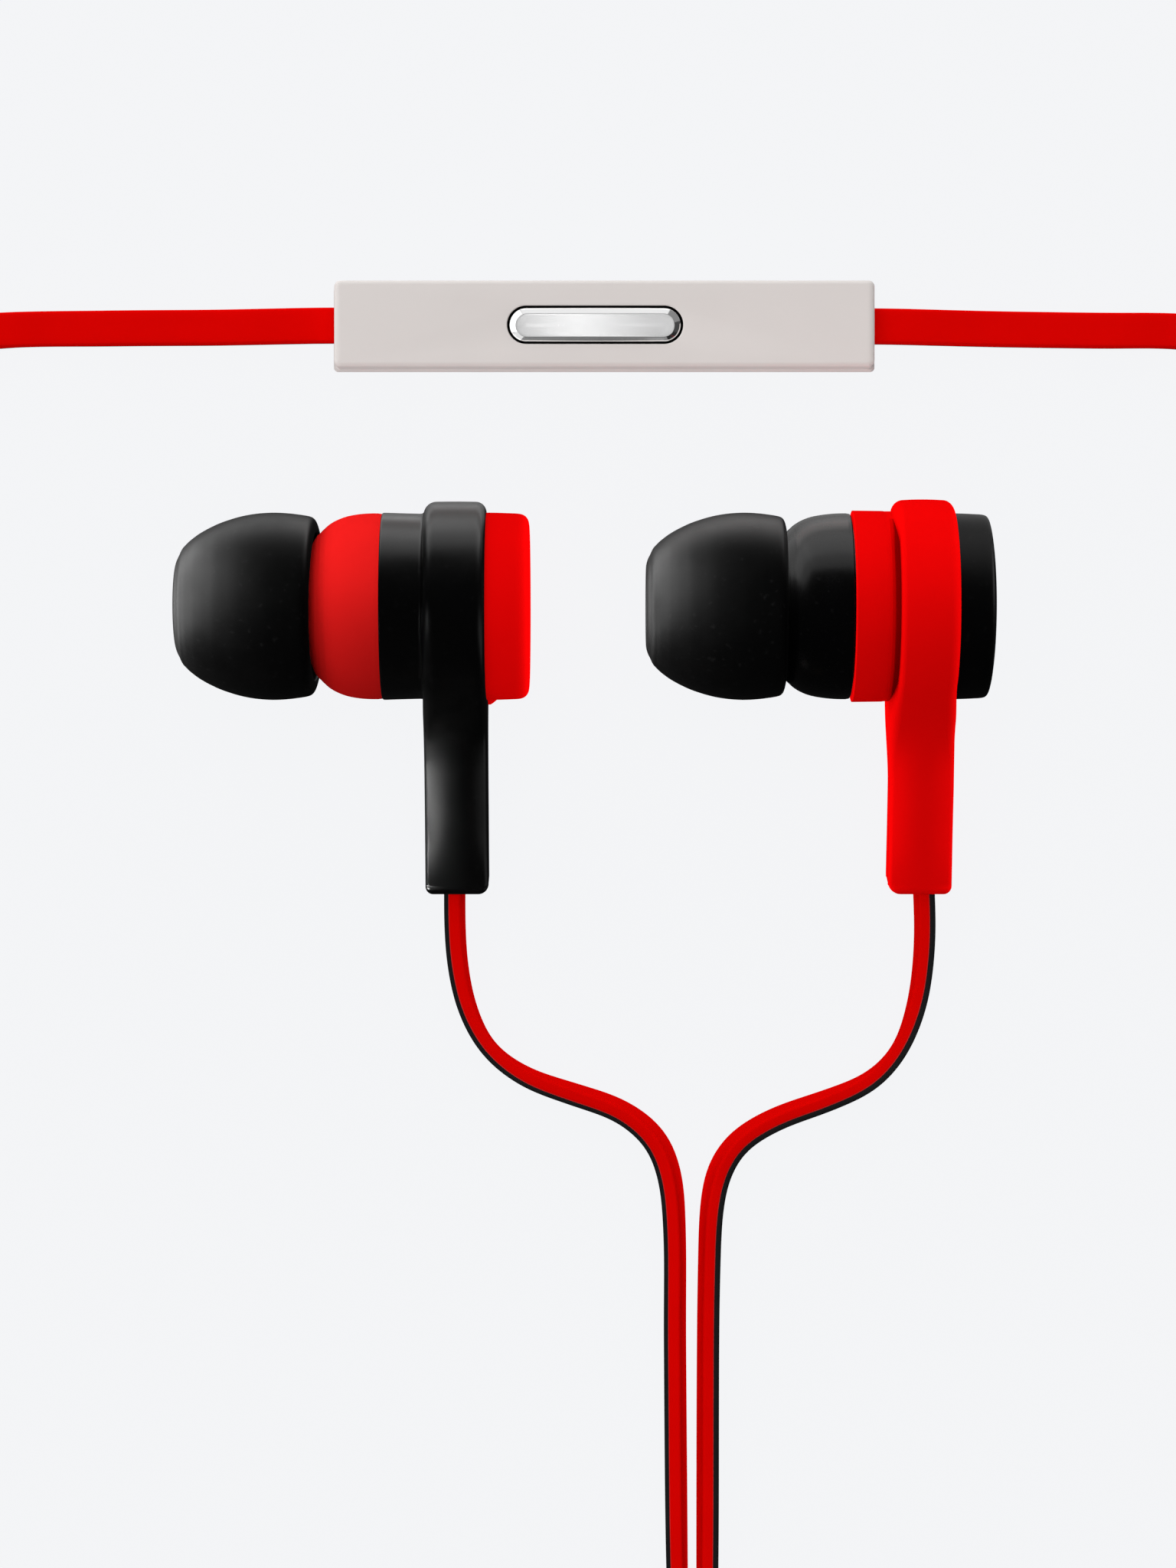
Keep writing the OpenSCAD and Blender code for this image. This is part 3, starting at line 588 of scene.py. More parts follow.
def front_shell(side, mat):
    dome = soft([(2.5, 7.6), (2.5, 8.1), (2.56, 8.32), (2.72, 8.46), (2.95, 8.52), (3.3, 8.57), (3.75, 8.69), (4.1, 8.83), (4.4, 9.0), (4.6, 9.15),
                 (4.7, 9.25), (4.76, 9.32), (4.86, 9.41), (5.02, 9.58), (5.22, 9.8), (5.36, 10.0), (5.49, 10.22), (5.67, 10.62), (5.8, 11.0),
                 (5.89, 11.4), (5.95, 11.8), (5.985, 12.2), (6.0, 12.6), (6.0, 12.95)], 0.08)
    dome = [(r, x + (0.0 if side == "left" else -0.1) * ease((x - 8.5) / 0.6) + (0.04 if side == "left" else 0.24) * ease((x - 10.5) / 1.5)) for r, x in dome]
    pts = [(1.9, 1.65), (1.95, 1.6), (2.45, 1.6)] + arc((2.5, 1.82), 0.22, -90, -10, 6) + [(2.72, 2.5)] + arc((2.6, 2.55), 0.12, 0, 90, 4) + \
        [(2.5, 2.72), (2.5, 2.9), (2.5, 5.2)] + dome + [(5.96, 13.3), (5.88, 13.36), (5.7, 13.4), (5.25, 13.4), (5.25, 14.2), (4.6, 14.2), (4.6, 12.6), (4.9, 11.6),
                                                        (4.7, 10.8), (4.2, 10.1), (3.6, 9.6), (2.6, 9.35), (1.9, 9.3)]
    v, f = revolve(behind(pts), 192)
    return Solid().add(v, f).mesh(f"front_shell_{side}_dome", [mat], 35, at(side))


def lollipop(r, end_r, ds=0.14, f=7.0):
    """The outline of ring and stem seen along the ear tip's axis: points (y, z) and outward normals."""
    hd, length = stem_depth / 2, stem_len
    cz = hd + f
    cy = math.sqrt((r + f) ** 2 - cz ** 2)
    k = r / (r + f)
    p, nrm = [], []

    def fall(y):
        """The stem thins towards its end."""
        t = min(1.0, max(0.0, (-y - 12.8) / (length - 12.8)))
        return 0.42 * t ** 2.1

    def add(y, z, ny, nz):
        if p and math.hypot(p[-1][0] - y, p[-1][1] - z) < 0.3 * ds:
            return
        p.append((y, z))
        nrm.append((ny, nz))
    a1 = math.atan2(cz, -cy)
    for a in np.linspace(0, a1, max(8, int(r * a1 / ds))):
        add(r * math.cos(a), r * math.sin(a), math.cos(a), math.sin(a))
    b0, b1 = math.atan2(cz * k - cz, -cy * k + cy), -math.pi / 2
    for b in np.linspace(b0, b1, max(6, int(f * abs(b1 - b0) / ds))):
        add(-cy + f * math.cos(b), cz + f * math.sin(b), -math.cos(b), -math.sin(b))
    for y in np.arange(-cy - ds, -length + end_r, -ds):
        add(y, hd - fall(y), 0, 1)
    he = hd - fall(-length + end_r)
    for b in np.linspace(math.pi / 2, math.pi, 11):
        add(-length + end_r + end_r * math.cos(b), he - end_r + end_r * math.sin(b), math.cos(b), math.sin(b))
    m = max(2, int((he - end_r) / ds))
    for i in range(1, m):
        add(-length, (he - end_r) * (1 - i / m), -1, 0)
    p, nrm = np.array(p), np.array(nrm)
    # ease the curvature where ring, hollow and stem follow each other
    q = relax(p, 7)
    w = np.array([ease((-y - 3.2) / 2.2) * (1 - ease((-y - 13.5) / 1.5)) for y in p[:, 0]])[:, None]
    p = p + w * (q - p)
    t = np.gradient(p, axis=0)
    t /= np.linalg.norm(t, axis=1)[:, None]
    side = np.c_[t[:, 1], -t[:, 0]]
    side *= np.sign((side * nrm).sum(axis=1))[:, None]
    nrm = np.where(w > 0, side, nrm)
    mp, mn = p[1:][::-1] * (1, -1), nrm[1:][::-1] * (1, -1)
    if abs(p[-1][1]) > 0.02:
        p = np.vstack([p, [(-length, 0.0)]])
        nrm = np.vstack([nrm, [(-1, 0)]])
    return np.vstack([p, mp]), np.vstack([nrm, mn])


def housing(side, mat, ring_r, edges, ring, neck, stem, end_edges, band, groove, crown):
    """Band, strap ring and stem in one moulding. ring, neck and stem are the x limits at the ring, just below it and along the stem;
    edges and end_edges are the roundings (low x, high x) of the ring and of the stem's end."""
    p, nrm = lollipop(ring_r, 0.6)
    y = p[:, 0]
    on_end = np.array([ease((-yy - (stem_len - 0.75)) / 0.7) for yy in y])
    on_stem = np.array([ease((-yy - (5.3 if side == "left" else 6.6)) / (3.6 if side == "left" else 4.2)) for yy in y])
    to_neck = np.array([ease((-yy - 4.5) / 3.0) for yy in y])
    to_stem = np.array([ease((-yy - 7.6) / 4.5) for yy in y])
    taper = np.array([ease((-yy - 14.5) / 4.0) for yy in y])
    low = ring[0] + (neck[0] - ring[0]) * to_neck + (stem[0] - neck[0]) * to_stem
    high = ring[1] + (neck[1] - ring[1]) * to_neck + (stem[1] - neck[1]) * to_stem
    edge_low = edges[0] + (0.3 - edges[0]) * on_stem
    edge_high = edges[1] + (0.3 - edges[1]) * on_stem
    edge_low = edge_low + (end_edges[0] - edge_low) * on_end
    edge_high = edge_high + (end_edges[1] - edge_high) * on_end
    if groove:
        # on the faces the ring's edge stands back behind the groove
        facing = np.clip(np.abs(p[:, 1]) / ring_r * 3 - 0.6, 0, 1) * (1 - to_neck)
        low = low + 0.32 * facing
        edge_low = edge_low - 0.42 * facing
    middle, half = (low + high) / 2, (high - low) / 2
    bulge = (crown + (0.8 - crown) * on_stem) * (1 - 0.5 * taper) * (1 - on_end)
    loops = []
    steps = [("l", i / 12) for i in range(13)] + [("m", i / 16) for i in range(1, 16)] + [("r", 1 - i / 12) for i in range(13)]
    for kind, q in steps:
        if kind == "m":
            x = low + edge_low + (high - edge_high - low - edge_low) * q
            d = np.zeros_like(half)
        else:
            a = q * math.pi / 2
            edge = edge_low if kind == "l" else edge_high
            reach = edge * (1 - math.cos(a))
            x = low + reach if kind == "l" else high - reach
            d = edge * (1 - math.sin(a))
        d = d + bulge * np.abs((x - middle) / half) ** 2
        loops.append(np.c_[x, p[:, 0] - nrm[:, 0] * d, p[:, 1] - nrm[:, 1] * d])
    n = len(p)
    v, f = strip(loops, closed_ends=False)
    # side faces: from the strap's outline to the bore
    rings = []
    for loop in (loops[0], loops[-1]):
        ang = np.arctan2(loop[:, 2], loop[:, 1])
        rings.append(np.c_[loop[:, 0], (bore_r - 0.02) * np.cos(ang), (bore_r - 0.02) * np.sin(ang)])
    base = len(v)
    v = np.vstack([v, rings[0], rings[1]])
    last = (len(loops) - 1) * n
    for k in range(n):
        j = (k + 1) % n
        f.append([k, base + k, base + j, j])
        f.append([last + k, last + j, base + n + j, base + n + k])
        f.append([base + k, base + n + k, base + n + j, base + j])
    s = Solid().add(v, f)
    start, r0, r1, stop = band
    profile = [(bore_r, start), (r0 - 0.16, start)] + arc((r0 - 0.14, start + 0.14), 0.14, -90, 0, 6)
    if groove:
        profile += [(r0, -4.6), ((r0 + r1) / 2, -3.6), (r1, stop - 0.12), (r1 - 0.012, stop), (r1 - 0.045, stop + 0.1), (r1 - 0.1, stop + 0.2),
                    (r1 - 0.18, stop + 0.3), (r1 - 0.29, stop + 0.4), (r1 - groove, stop + 0.48), (r1 - groove - 0.02, stop + 0.56),
                    (r1 - groove - 0.02, ring[0] + 0.8), (bore_r, ring[0] + 0.8)]
    else:
        profile += [(r0, -4.6), ((r0 + r1) / 2, -3.6), (r1, ring[0] - 0.25), (r1 + 0.01, ring[0] - 0.12), (r1 + 0.05, ring[0] - 0.04), (r1 + 0.12, ring[0] + 0.02), (r1, ring[0] + 0.5), (bore_r, ring[0] + 0.5)]
    v2, f2 = revolve(profile, 192)
    if groove:
        # the groove is deepest on the faces and runs out at the sides
        rr = np.hypot(v2[:, 1], v2[:, 2])
        facing = np.clip(np.abs(v2[:, 2]) / rr * 2.4 - 0.5, 0, 1)
        inside = (v2[:, 0] > stop - 0.02) & (rr > bore_r + 0.05)
        want = np.where(inside, r1 - 0.02 - (r1 - 0.02 - rr) * facing, rr)
        v2[:, 1:] *= (want / rr)[:, None]
    # painted shade: the groove's faces nearest the ring take the darker reds, darkest against the ring, standing in for
    # the crevice's shadow
    shade = []
    for f in f2:
        c = v2[f].mean(axis=0)
        out = groove and math.hypot(c[1], c[2]) > bore_r + 0.1 and abs(c[2]) / math.hypot(c[1], c[2]) > 0.2
        shade.append(0 if not out or c[0] < stop + 0.22 else 1 if c[0] < stop + 0.36 else 2 if c[0] < stop + 0.5 else 3)
    s.add(v2, f2, shade)
    return s.mesh(f"housing_{side}_ring_and_stem", [mat] + M_red_painted_shade, 38, at(side))


def back_cap(side, mat, nub):
    r = 6.03
    x0 = strap_w / 2 - 0.25
    if side == "left":
        line = [(6.05, 2.0), (6.045, 2.4), (6.035, 2.8), (6.02, 3.2), (6.005, 3.6), (5.985, 3.95), (5.95, 4.15), (5.89, 4.31), (5.8, 4.44), (5.67, 4.545),
                (5.5, 4.62), (5.3, 4.66), (5.05, 4.68), (4.7, 4.69), (4.0, 4.7), (3.0, 4.71), (2.0, 4.715), (1.0, 4.72), (0.25, 4.72)]
    else:
        line = [(6.0, 2.0), (5.99, 2.4), (5.975, 2.8), (5.955, 3.2), (5.935, 3.6), (5.91, 3.8), (5.87, 3.95), (5.8, 4.05), (5.69, 4.12), (5.53, 4.17),
                (5.3, 4.22), (5.05, 4.26), (4.7, 4.31), (4.2, 4.365), (3.6, 4.42), (2.8, 4.475), (2.0, 4.51), (1.0, 4.535), (0.25, 4.54)]
    pts = [(0.0, x0), (5.4, x0), (line[0][0] - 0.02, x0), (line[0][0], x0 + 0.02)] + soft(line, 0.06) + [(0.0, line[-1][1])]
    v, f = revolve(pts, 192)
    s = Solid().add(v, f)
    if nub:
        # a small wedge beside the strap, on the stem's side
        n = 14
        loops = []
        for i in range(n + 1):
            t = i / n
            x = strap_w / 2 - 0.1 + 0.72 * t
            h = 0.5 * (1 - max(0.0, (t - 0.2) / 0.8) ** 1.3) + 0.001
            w = 0.95 - 0.25 * t
            prof = []
            for a in np.linspace(-1, 1, 15):
                ang = a * w / r
                lift = h * math.cos(a * math.pi / 2) ** 0.6 if abs(a) < 1 else 0.0
                prof.append((x, -(r - 0.02 + lift) * math.cos(ang), (r - 0.02 + lift) * math.sin(ang)))
            for a in np.linspace(1, -1, 6):
                ang = a * w / r
                prof.append((x, -(r - 0.4) * math.cos(ang), (r - 0.4) * math.sin(ang)))
            loops.append(np.array(prof))
        s.add(*strip(loops))
    return s.mesh(f"back_cap_{side}_shell", [mat], 40, at(side))


def woven_screen(side):
    """Plain-weave wire cloth across the nozzle, in a thin ring."""
    s = Solid()
    r, pitch, wire = 1.84, 0.2, 0.045
    x0 = tip_front + 2.02
    m = int(r / pitch)
    for axis in (0, 1):
        for i in range(-m, m + 1):
            c = i * pitch
            h = math.sqrt(max(0.0, r * r - c * c))
            if h < 0.3:
                continue
            t = np.linspace(-h, h, max(8, int(2 * h / 0.05)))
            lift = wire * np.cos(math.pi * t / pitch) * (1 if i % 2 else -1) * (1 if axis else -1)
            path = np.c_[x0 + lift, t, np.full_like(t, c)] if axis == 0 else np.c_[x0 + lift, np.full_like(t, c), t]
            s.add(*tube(path, wire, 6))
    s.add(*revolve([(1.8, x0 - 0.09), (1.885, x0 - 0.09), (1.885, x0 + 0.09), (1.8, x0 + 0.09)], 96))
    foam, ff = revolve([(0.0, x0 + 0.35), (1.88, x0 + 0.35), (1.88, x0 + 0.9), (0.0, x0 + 0.9)], 64)
    s.add(foam, ff, 1)
    return s.mesh(f"nozzle_screen_{side}", [M_steel, M_dark], 50, at(side))


front = {"left": M_red_dome, "right": M_black}
cap = {"left": M_red, "right": M_black_cap}
shell = {"left": M_black_satin, "right": M_red}
for side in ("left", "right"):
    left = side == "left"
    o = ear_tip(side)
    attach(o, f"tip_{side}")
    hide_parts(f"ear_tip_{side}")
    o = front_shell(side, front[side])
    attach(o, BODY)
    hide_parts(f"front_shell_{side}")
    if left:
        o = housing(side, shell[side], 6.76, (0.8, 0.66), (-2.13, 1.9), (-2.21, 1.94), (-2.2, 1.94), (0.5, 0.68), (-4.83, 6.04, 5.975, -2.2), 0.0, 0.03)
    else:
        o = housing(side, shell[side], 6.9, (0.78, 0.68), (-2.14, 1.93), (-2.2, 2.12), (-1.99, 2.2), (0.85, 0.55), (-4.64, 6.18, 6.155, -2.58), 0.44, 0.1)
    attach(o, BODY)
    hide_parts(f"housing_stem_{side}")
    o = back_cap(side, cap[side], left)
    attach(o, BODY)
    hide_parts(f"back_cap_{side}")
    o = woven_screen(side)
    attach(o, BODY)
    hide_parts(f"nozzle_mesh_{side}")

# ---------------------------------------------------------------- boxes: remote and splitter shells


def flat_with_hole(outer, hole, z, s, flip=False):
    """A flat face at height z between two outlines."""
    polys = [[Vector((x, y, 0)) for x, y in outer]]
    pts = [tuple(p) for p in outer]
    if hole is not None:
        polys.append([Vector((x, y, 0)) for x, y in hole])
        pts += [tuple(p) for p in hole]
    tri = tessellate_polygon(polys)
    return np.c_[np.array(pts), np.full(len(pts), z)], [list(t) for t in tri]


def weld(o, distance=1e-7):
    bm = bmesh.new()
    bm.from_mesh(o.data)
    bmesh.ops.remove_doubles(bm, verts=bm.verts[:], dist=distance)
    bmesh.ops.dissolve_degenerate(bm, edges=bm.edges[:], dist=1e-8)
    bmesh.ops.recalc_face_normals(bm, faces=bm.faces[:])
    bm.to_mesh(o.data)
    bm.free()
    o.data.polygons.foreach_set("use_smooth", np.ones(len(o.data.polygons), bool))
    return o


def shell_half(name, mat, length, width, corner, z0, z1, edge, seam, hole=None, hole_at=(0, 0), to=None, up=True, seam_in=0.07, ends=1.0, flare=0.0):
    """Half of a two-part case: rounded on its outer face, with a fine recessed seam on the other side.
    z0 is the seam's height and z1 the outer face's."""
    sign = 1 if up else -1
    loops, zs = [], []

    def outline(inset, t=0.0):
        r = max(0.02, corner - inset)
        return rounded_loop(length - 2 * inset * ends + 2 * flare * t, width - 2 * inset, r, 10)
    rows = [(seam_in, z0), (seam_in, z0 + sign * seam), (0.015, z0 + sign * (seam + 0.015)), (0.0, z0 + sign * (seam + 0.05)), (0.0, z1 - sign * edge)]
    for i in range(1, 9):
        a = i / 8 * math.pi / 2
        rows.append((edge * (1 - math.cos(a)), z1 - sign * edge * (1 - math.sin(a))))
    rows.append((edge + 0.03, z1))
    for inset, z in rows:
        c = outline(inset, abs(z - z0) / abs(z1 - z0))
        loops.append(np.c_[c, np.full(len(c), z)])
    v, f = strip(loops, closed_ends=False)
    s = Solid().add(v, f)
    s.add(*flat_with_hole(loops[0][:, :2], None, z0, s))
    top = outline(edge + 0.03, 1.0)
    if hole is None:
        s.add(*flat_with_hole(top, None, z1, s))
    else:
        h0 = hole(0.09)                                   # where the hole's rounding begins
        s.add(*flat_with_hole(top, h0 + hole_at, z1, s))
        rings = []
        for i in range(0, 6):
            a = i / 5 * math.pi / 2
            rings.append(np.c_[hole(0.09 * (1 - math.sin(a))) + hole_at, np.full(len(h0), z1 - sign * 0.09 * (1 - math.cos(a)))])
        deep = z1 - sign * hole.depth
        v, f = strip(rings, closed_ends=False)
        s.add(v, f)
        # painted shade: the hole's wall, floor and the room under it take the near-black material
        wall = [rings[-1], np.c_[hole(0.0) + hole_at, np.full(len(h0), deep)]]
        v, f = strip(wall, closed_ends=False)
        s.add(v, f, 1)
        if hole.room:
            # wider room under the roof for the button's flange
            grow, floor = hole.room
            wide = hole(grow) + hole_at
            s.add(*flat_with_hole(wide, wall[-1][:, :2], deep, s), 1)
            v, f = strip([np.c_[wide, np.full(len(wide), z)] for z in (deep, floor)], closed_ends=False)
            s.add(v, f, 1)
            s.add(*flat_with_hole(wide, None, floor, s), 1)
        else:
            s.add(*flat_with_hole(wall[-1][:, :2], None, deep, s), 1)
    o = s.mesh(name, [mat, M_painted_shade], 180, to)
    weld(o)
    o.data.set_sharp_from_angle(angle=math.radians(42))
    return o


class PillHole:
    def __init__(self, length, width, depth, room=None):
        self.length, self.width, self.depth, self.room = length, width, depth, room

    def __call__(self, grow):
        return pill_loop(self.length + 2 * grow, self.width + 2 * grow)


class RoundHole:
    def __init__(self, r, depth):
        self.r, self.depth, self.room = r, depth, None

    def __call__(self, grow):
        a = np.linspace(0, 2 * math.pi, 33)[:-1]
        return np.c_[(self.r + grow) * np.cos(a), (self.r + grow) * np.sin(a)]


def at_remote(v):
    return turn_z(v, 0, (remote_at[0], remote_at[1], 0))


def at_splitter(v):
    return turn_z(v, 135, (splitter_at[0], splitter_at[1], 0))


o = shell_half("remote_front_case", M_remote, remote_len, remote_w, 0.4, remote_split, remote_h, 0.28, 0.03,
               PillHole(button_len + 2 * button_gap, button_w + 2 * button_gap, 0.7, (0.5, 1.925)), np.array([button_at[0] - remote_at[0], button_at[1] - remote_at[1]]), at_remote, ends=1.5)
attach(o, BODY)
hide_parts("remote_front_shell")
o = shell_half("remote_back_case", M_remote, remote_len, remote_w, 0.3, remote_split, 0.0, 0.28, 0.03, RoundHole(0.35, 0.6), np.array([9.5, 1.4]), at_remote, up=False, ends=0.3, flare=0.28)
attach(o, BODY)
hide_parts("remote_back_shell")
for part, z1, up in (("cover", splitter_h, True), ("base", 0.0, False)):
    o = shell_half(f"splitter_{part}_case", M_remote, splitter_len, splitter_w, 1.2, 1.9, z1, 0.5, 0.03, None, (0, 0), at_splitter, up=up)
    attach(o, BODY)
    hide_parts(f"splitter_{part}")


def pill_line(length, width, per=24, along=22):
    """Pill outline with points along its straight sides too."""
    r = width / 2
    h = length / 2 - r
    xs = np.linspace(-h, h, along + 2)[1:-1]
    return np.array(arc((h, 0), r, -90, 90, per) + [(x, r) for x in xs[::-1]] + arc((-h, 0), r, 90, 270, per) + [(x, -r) for x in xs])


def button():
    """Pill with a broad flat bevel round a slightly crowned face, on a flange under the case."""
    top, fall = remote_h + 0.21, 0.25
    end, side, drop_y = 0.41, 0.33, 0.06                 # the bevel's width at the ends and along the sides, and the face's offset
    length, width = button_len - 0.11, button_w - 0.1
    loops = []

    def inner(more):
        """Pill inside the bevel, more mm further in."""
        c = pill_line(length - 2 * (end + more), width - 2 * (side + more))
        c[:, 1] -= drop_y
        return c

    def face(c):
        return top - c[:, 0] ** 2 / 400.0 - c[:, 1] ** 2 / 80.0
    c = pill_line(length, width)
    loops.append(np.c_[c, np.full(len(c), 3.4)])
    for inset, low in ((0.0, fall + 0.04), (0.006, fall + 0.015), (0.02, fall)):
        c = pill_line(length - 2 * inset, width - 2 * inset)
        loops.append(np.c_[c, face(inner(0)) - low])
    for more, drop in ((-0.03, 0.018), (-0.008, 0.005), (0.02, 0.0), (0.12, 0.0), (0.24, 0.0), (0.36, 0.0), (0.48, 0.0), (0.6, 0.0), (0.72, 0.0)):
        c = inner(more)
        loops.append(np.c_[c, face(c) - drop])
    v, f = strip(loops, closed_ends=False)
    s = Solid().add(v, f)
    n = len(loops[-1])
    s.add(loops[-1], [list(range(n))])
    s.add(*flat_with_hole(loops[0][:, :2], None, 3.4, s))
    flange = []
    for z in (3.05, 3.4):
        c = pill_loop(button_len + 0.9, button_w + 0.9)
        flange.append(np.c_[c, np.full(len(c), z)])
    # painted shade: the chrome flange under the case is drawn near-black
    s.add(*strip(flange), 1)
    for k in range(2 * n):
        s.m[k] = 1               # the walls under the bevel are chrome but take the near-black painted shade
    o = s.mesh("button_chrome_pill", [M_chrome, M_painted_shade], 180, lambda v: turn_z(v, 0, (button_at[0], button_at[1], 0)))
    weld(o)
    o.data.set_sharp_from_angle(angle=math.radians(14))
    return o


o = button()
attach(o, "button")
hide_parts("remote_button")

# ---------------------------------------------------------------- plug


def at_plug(v):
    """A turned piece's +x runs to the plug's tip, which points to -X."""
    v = np.asarray(v, float)
    return np.c_[plug_at[0] - v[:, 0], plug_at[1] + v[:, 1], plug_at[2] + v[:, 2]]


def plug_grip():
    pts = [(0.0, -grip_len), (2.3, -grip_len)] + arc((grip_r - 0.55, -grip_len + 0.55), 0.55, -90, 0, 8)
    for k in range(6):                                   # shallow finger grooves
        x = -9.6 + 1.1 * k
        pts += [(grip_r, x - 0.3), (grip_r - 0.1, x - 0.18), (grip_r - 0.13, x), (grip_r - 0.1, x + 0.18), (grip_r, x + 0.3)]
    pts += [(grip_r, -1.6)] + arc((grip_r - 0.45, -0.95), 0.45, 0, 90, 8) + [(2.45, -0.5), (2.4, -0.42), (2.38, 0.0), (0.0, 0.0)]
    v, f = revolve(pts, 128)
    return Solid().add(v, f).mesh("plug_grip_sleeve", [M_black_satin], 40, at_plug)


def plug_relief():
    """Tapered bellows with slots that let it bend."""
    pts = [(0.0, -24.0), (1.6, -24.0), (1.75, -23.95), (1.82, -23.85), (1.86, -23.7)]
    for k in range(4, 0, -1):
        a = -grip_len - 2.1 - 2 * (k - 1) - 0.9
        outer = 2.5 - (2.5 - 1.9) * ((-grip_len - 0.6) - a) / 11.0
        inner = 2.0 - 0.07 * (k - 1)
        pts += [(outer - 0.05, a - 0.52), (outer, a - 0.4), (outer, a - 0.06), (outer - 0.05, a), (inner, a + 0.04), (inner, a + 0.86), (outer - 0.02, a + 0.9), (outer + 0.03, a + 0.96)]
    pts += [(2.5, -grip_len - 0.6), (2.5, -grip_len), (0.0, -grip_len)]
    v, f = revolve(pts, 96)
    return Solid().add(v, f).mesh("plug_bend_relief", [M_cable_red], 40, at_plug)


grip = plug_grip()
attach(grip, BODY)
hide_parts("plug_grip")
relief = plug_relief()
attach(relief, BODY)
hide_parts("plug_strain_relief")

# ---------------------------------------------------------------- ties round the coils


def tie(name, coil, turn):
    """A hook-and-loop strap round the coil's bundle, with its free end pressed down on top."""
    t, w = 0.42, 5.0
    r0, r1 = coil["r0"] - 0.35, coil["r1"] + 0.02
    z0, z1 = coil_lift - 0.01, coil_lift + coil_h + 0.01
    s = Solid()

    def outline(grow):
        c = rounded_loop(r1 - r0 + 2 * grow, z1 - z0 + 2 * grow, 0.35 + grow, 8)
        return c + ((r0 + r1) / 2, (z0 + z1) / 2)
    rows = [(0.0, -w / 2 + 0.06), (0.06, -w / 2), (t - 0.06, -w / 2), (t, -w / 2 + 0.06), (t, w / 2 - 0.06), (t - 0.06, w / 2), (0.06, w / 2), (0.0, w / 2 - 0.06)]
    loops = [np.c_[outline(g)[:, 0], np.full(len(outline(g)), y), outline(g)[:, 1]] for g, y in rows]
    v, f = strip(loops + [loops[0]], closed_ends=False)
    s.add(v, f)
    # the free end: follows the top and bends down over the outer side
    top = z1 + t + 0.01
    path = [(r0 + 1.1, top + 0.16), (r0 + 2.2, top + 0.17), (r1 - 0.2, top + 0.17)] + [(r1 - 0.2 + 0.6 * math.sin(a), top - 0.43 + 0.6 * math.cos(a)) for a in np.radians([25, 50, 75])] + \
        [(r1 + t + 0.01 + 0.17, top - 0.9), (r1 + t + 0.18, z0 + 1.4)]
    p = catmull([(a, b, 0.0) for a, b in path], 0.15)[:, :2]
    d = np.gradient(p, axis=0)
    d /= np.linalg.norm(d, axis=1)[:, None]
    nrm = np.c_[-d[:, 1], d[:, 0]]
    flap = []
    for i, (q, m) in enumerate(zip(p, nrm)):
        e = min(i, len(p) - 1 - i) * 0.15
        hw = w / 2 - 0.12 - 0.8 * (1 - ease(e / 0.9)) ** 2
        flap.append(np.array([(q[0] + m[0] * h, y, q[1] + m[1] * h) for h, y in
                              ((-0.16, -hw + 0.05), (-0.1, -hw), (0.1, -hw), (0.16, -hw + 0.05), (0.16, hw - 0.05), (0.1, hw), (-0.1, hw), (-0.16, hw - 0.05))]))
    s.add(*strip(flap))
    o = s.mesh(name, [M_tie], 50, lambda v: turn_z(v, turn, (coil["at"][0], coil["at"][1], 0)))
    return o


ties = {}
for node, coil, turn in (("tie_branches", pair_coil, 100), ("tie_main", main_coil, 120)):
    o = tie(f"{node}_strap", coil, turn)
    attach(o, BODY)
    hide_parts(node)
    ties[node] = o

# ---------------------------------------------------------------- finishes of the construction's own pieces
finish_of = {
    "driver_frame": M_driver, "driver_diaphragm": M_film, "driver_voice_coil": M_copper, "driver_pole_plate": M_steel,
    "driver_magnet": M_magnet, "driver_yoke": M_steel, "terminal_board": M_board, "inner_wires": M_copper, "cable_clamp": M_dark,
}
single = {
    "remote_switch_body": M_dark, "remote_switch_plunger": M_driver, "remote_circuit_board": M_board, "remote_microphone": M_gold,
    "remote_cable_clamps": M_dark, "splitter_joint": M_dark, "plug_sleeve": M_gold, "plug_ring_ground": M_gold,
    "plug_ring_right": M_gold, "plug_tip": M_gold, "plug_insulators": M_black,
}
for base, m in finish_of.items():
    for side in ("left", "right"):
        single[f"{base}_{side}"] = m
for node, m in single.items():
    data = frame["nodes"][node].data if not isinstance(frame["nodes"][node], str) else bpy.data.objects[frame["nodes"][node]].data
    if not data.materials:
        data.materials.append(m)
    for i in range(len(data.materials)):
        data.materials[i] = m

# ---------------------------------------------------------------- cords' facts
cord_facts = {
    "cord_left": dict(exit=(-0.00866, -0.0125, 0.0018), far_end="object"),
    "cord_right": dict(exit=(0.02217, -0.0125, 0.0018), far_end="object"),
    "cord_splitter_to_remote": dict(exit=(-0.0402, -0.0699, 0.0019), far_end="object"),
    "cord_remote_to_plug": dict(exit=(0.0188, 0.0244, 0.0021), far_end="plug",
                                with_pieces=[grip, relief, "plug_sleeve", "plug_ring_ground", "plug_ring_right", "plug_tip", "plug_insulators"]),
}
for name, facts in cord_facts.items():
    o, p = cords[name]

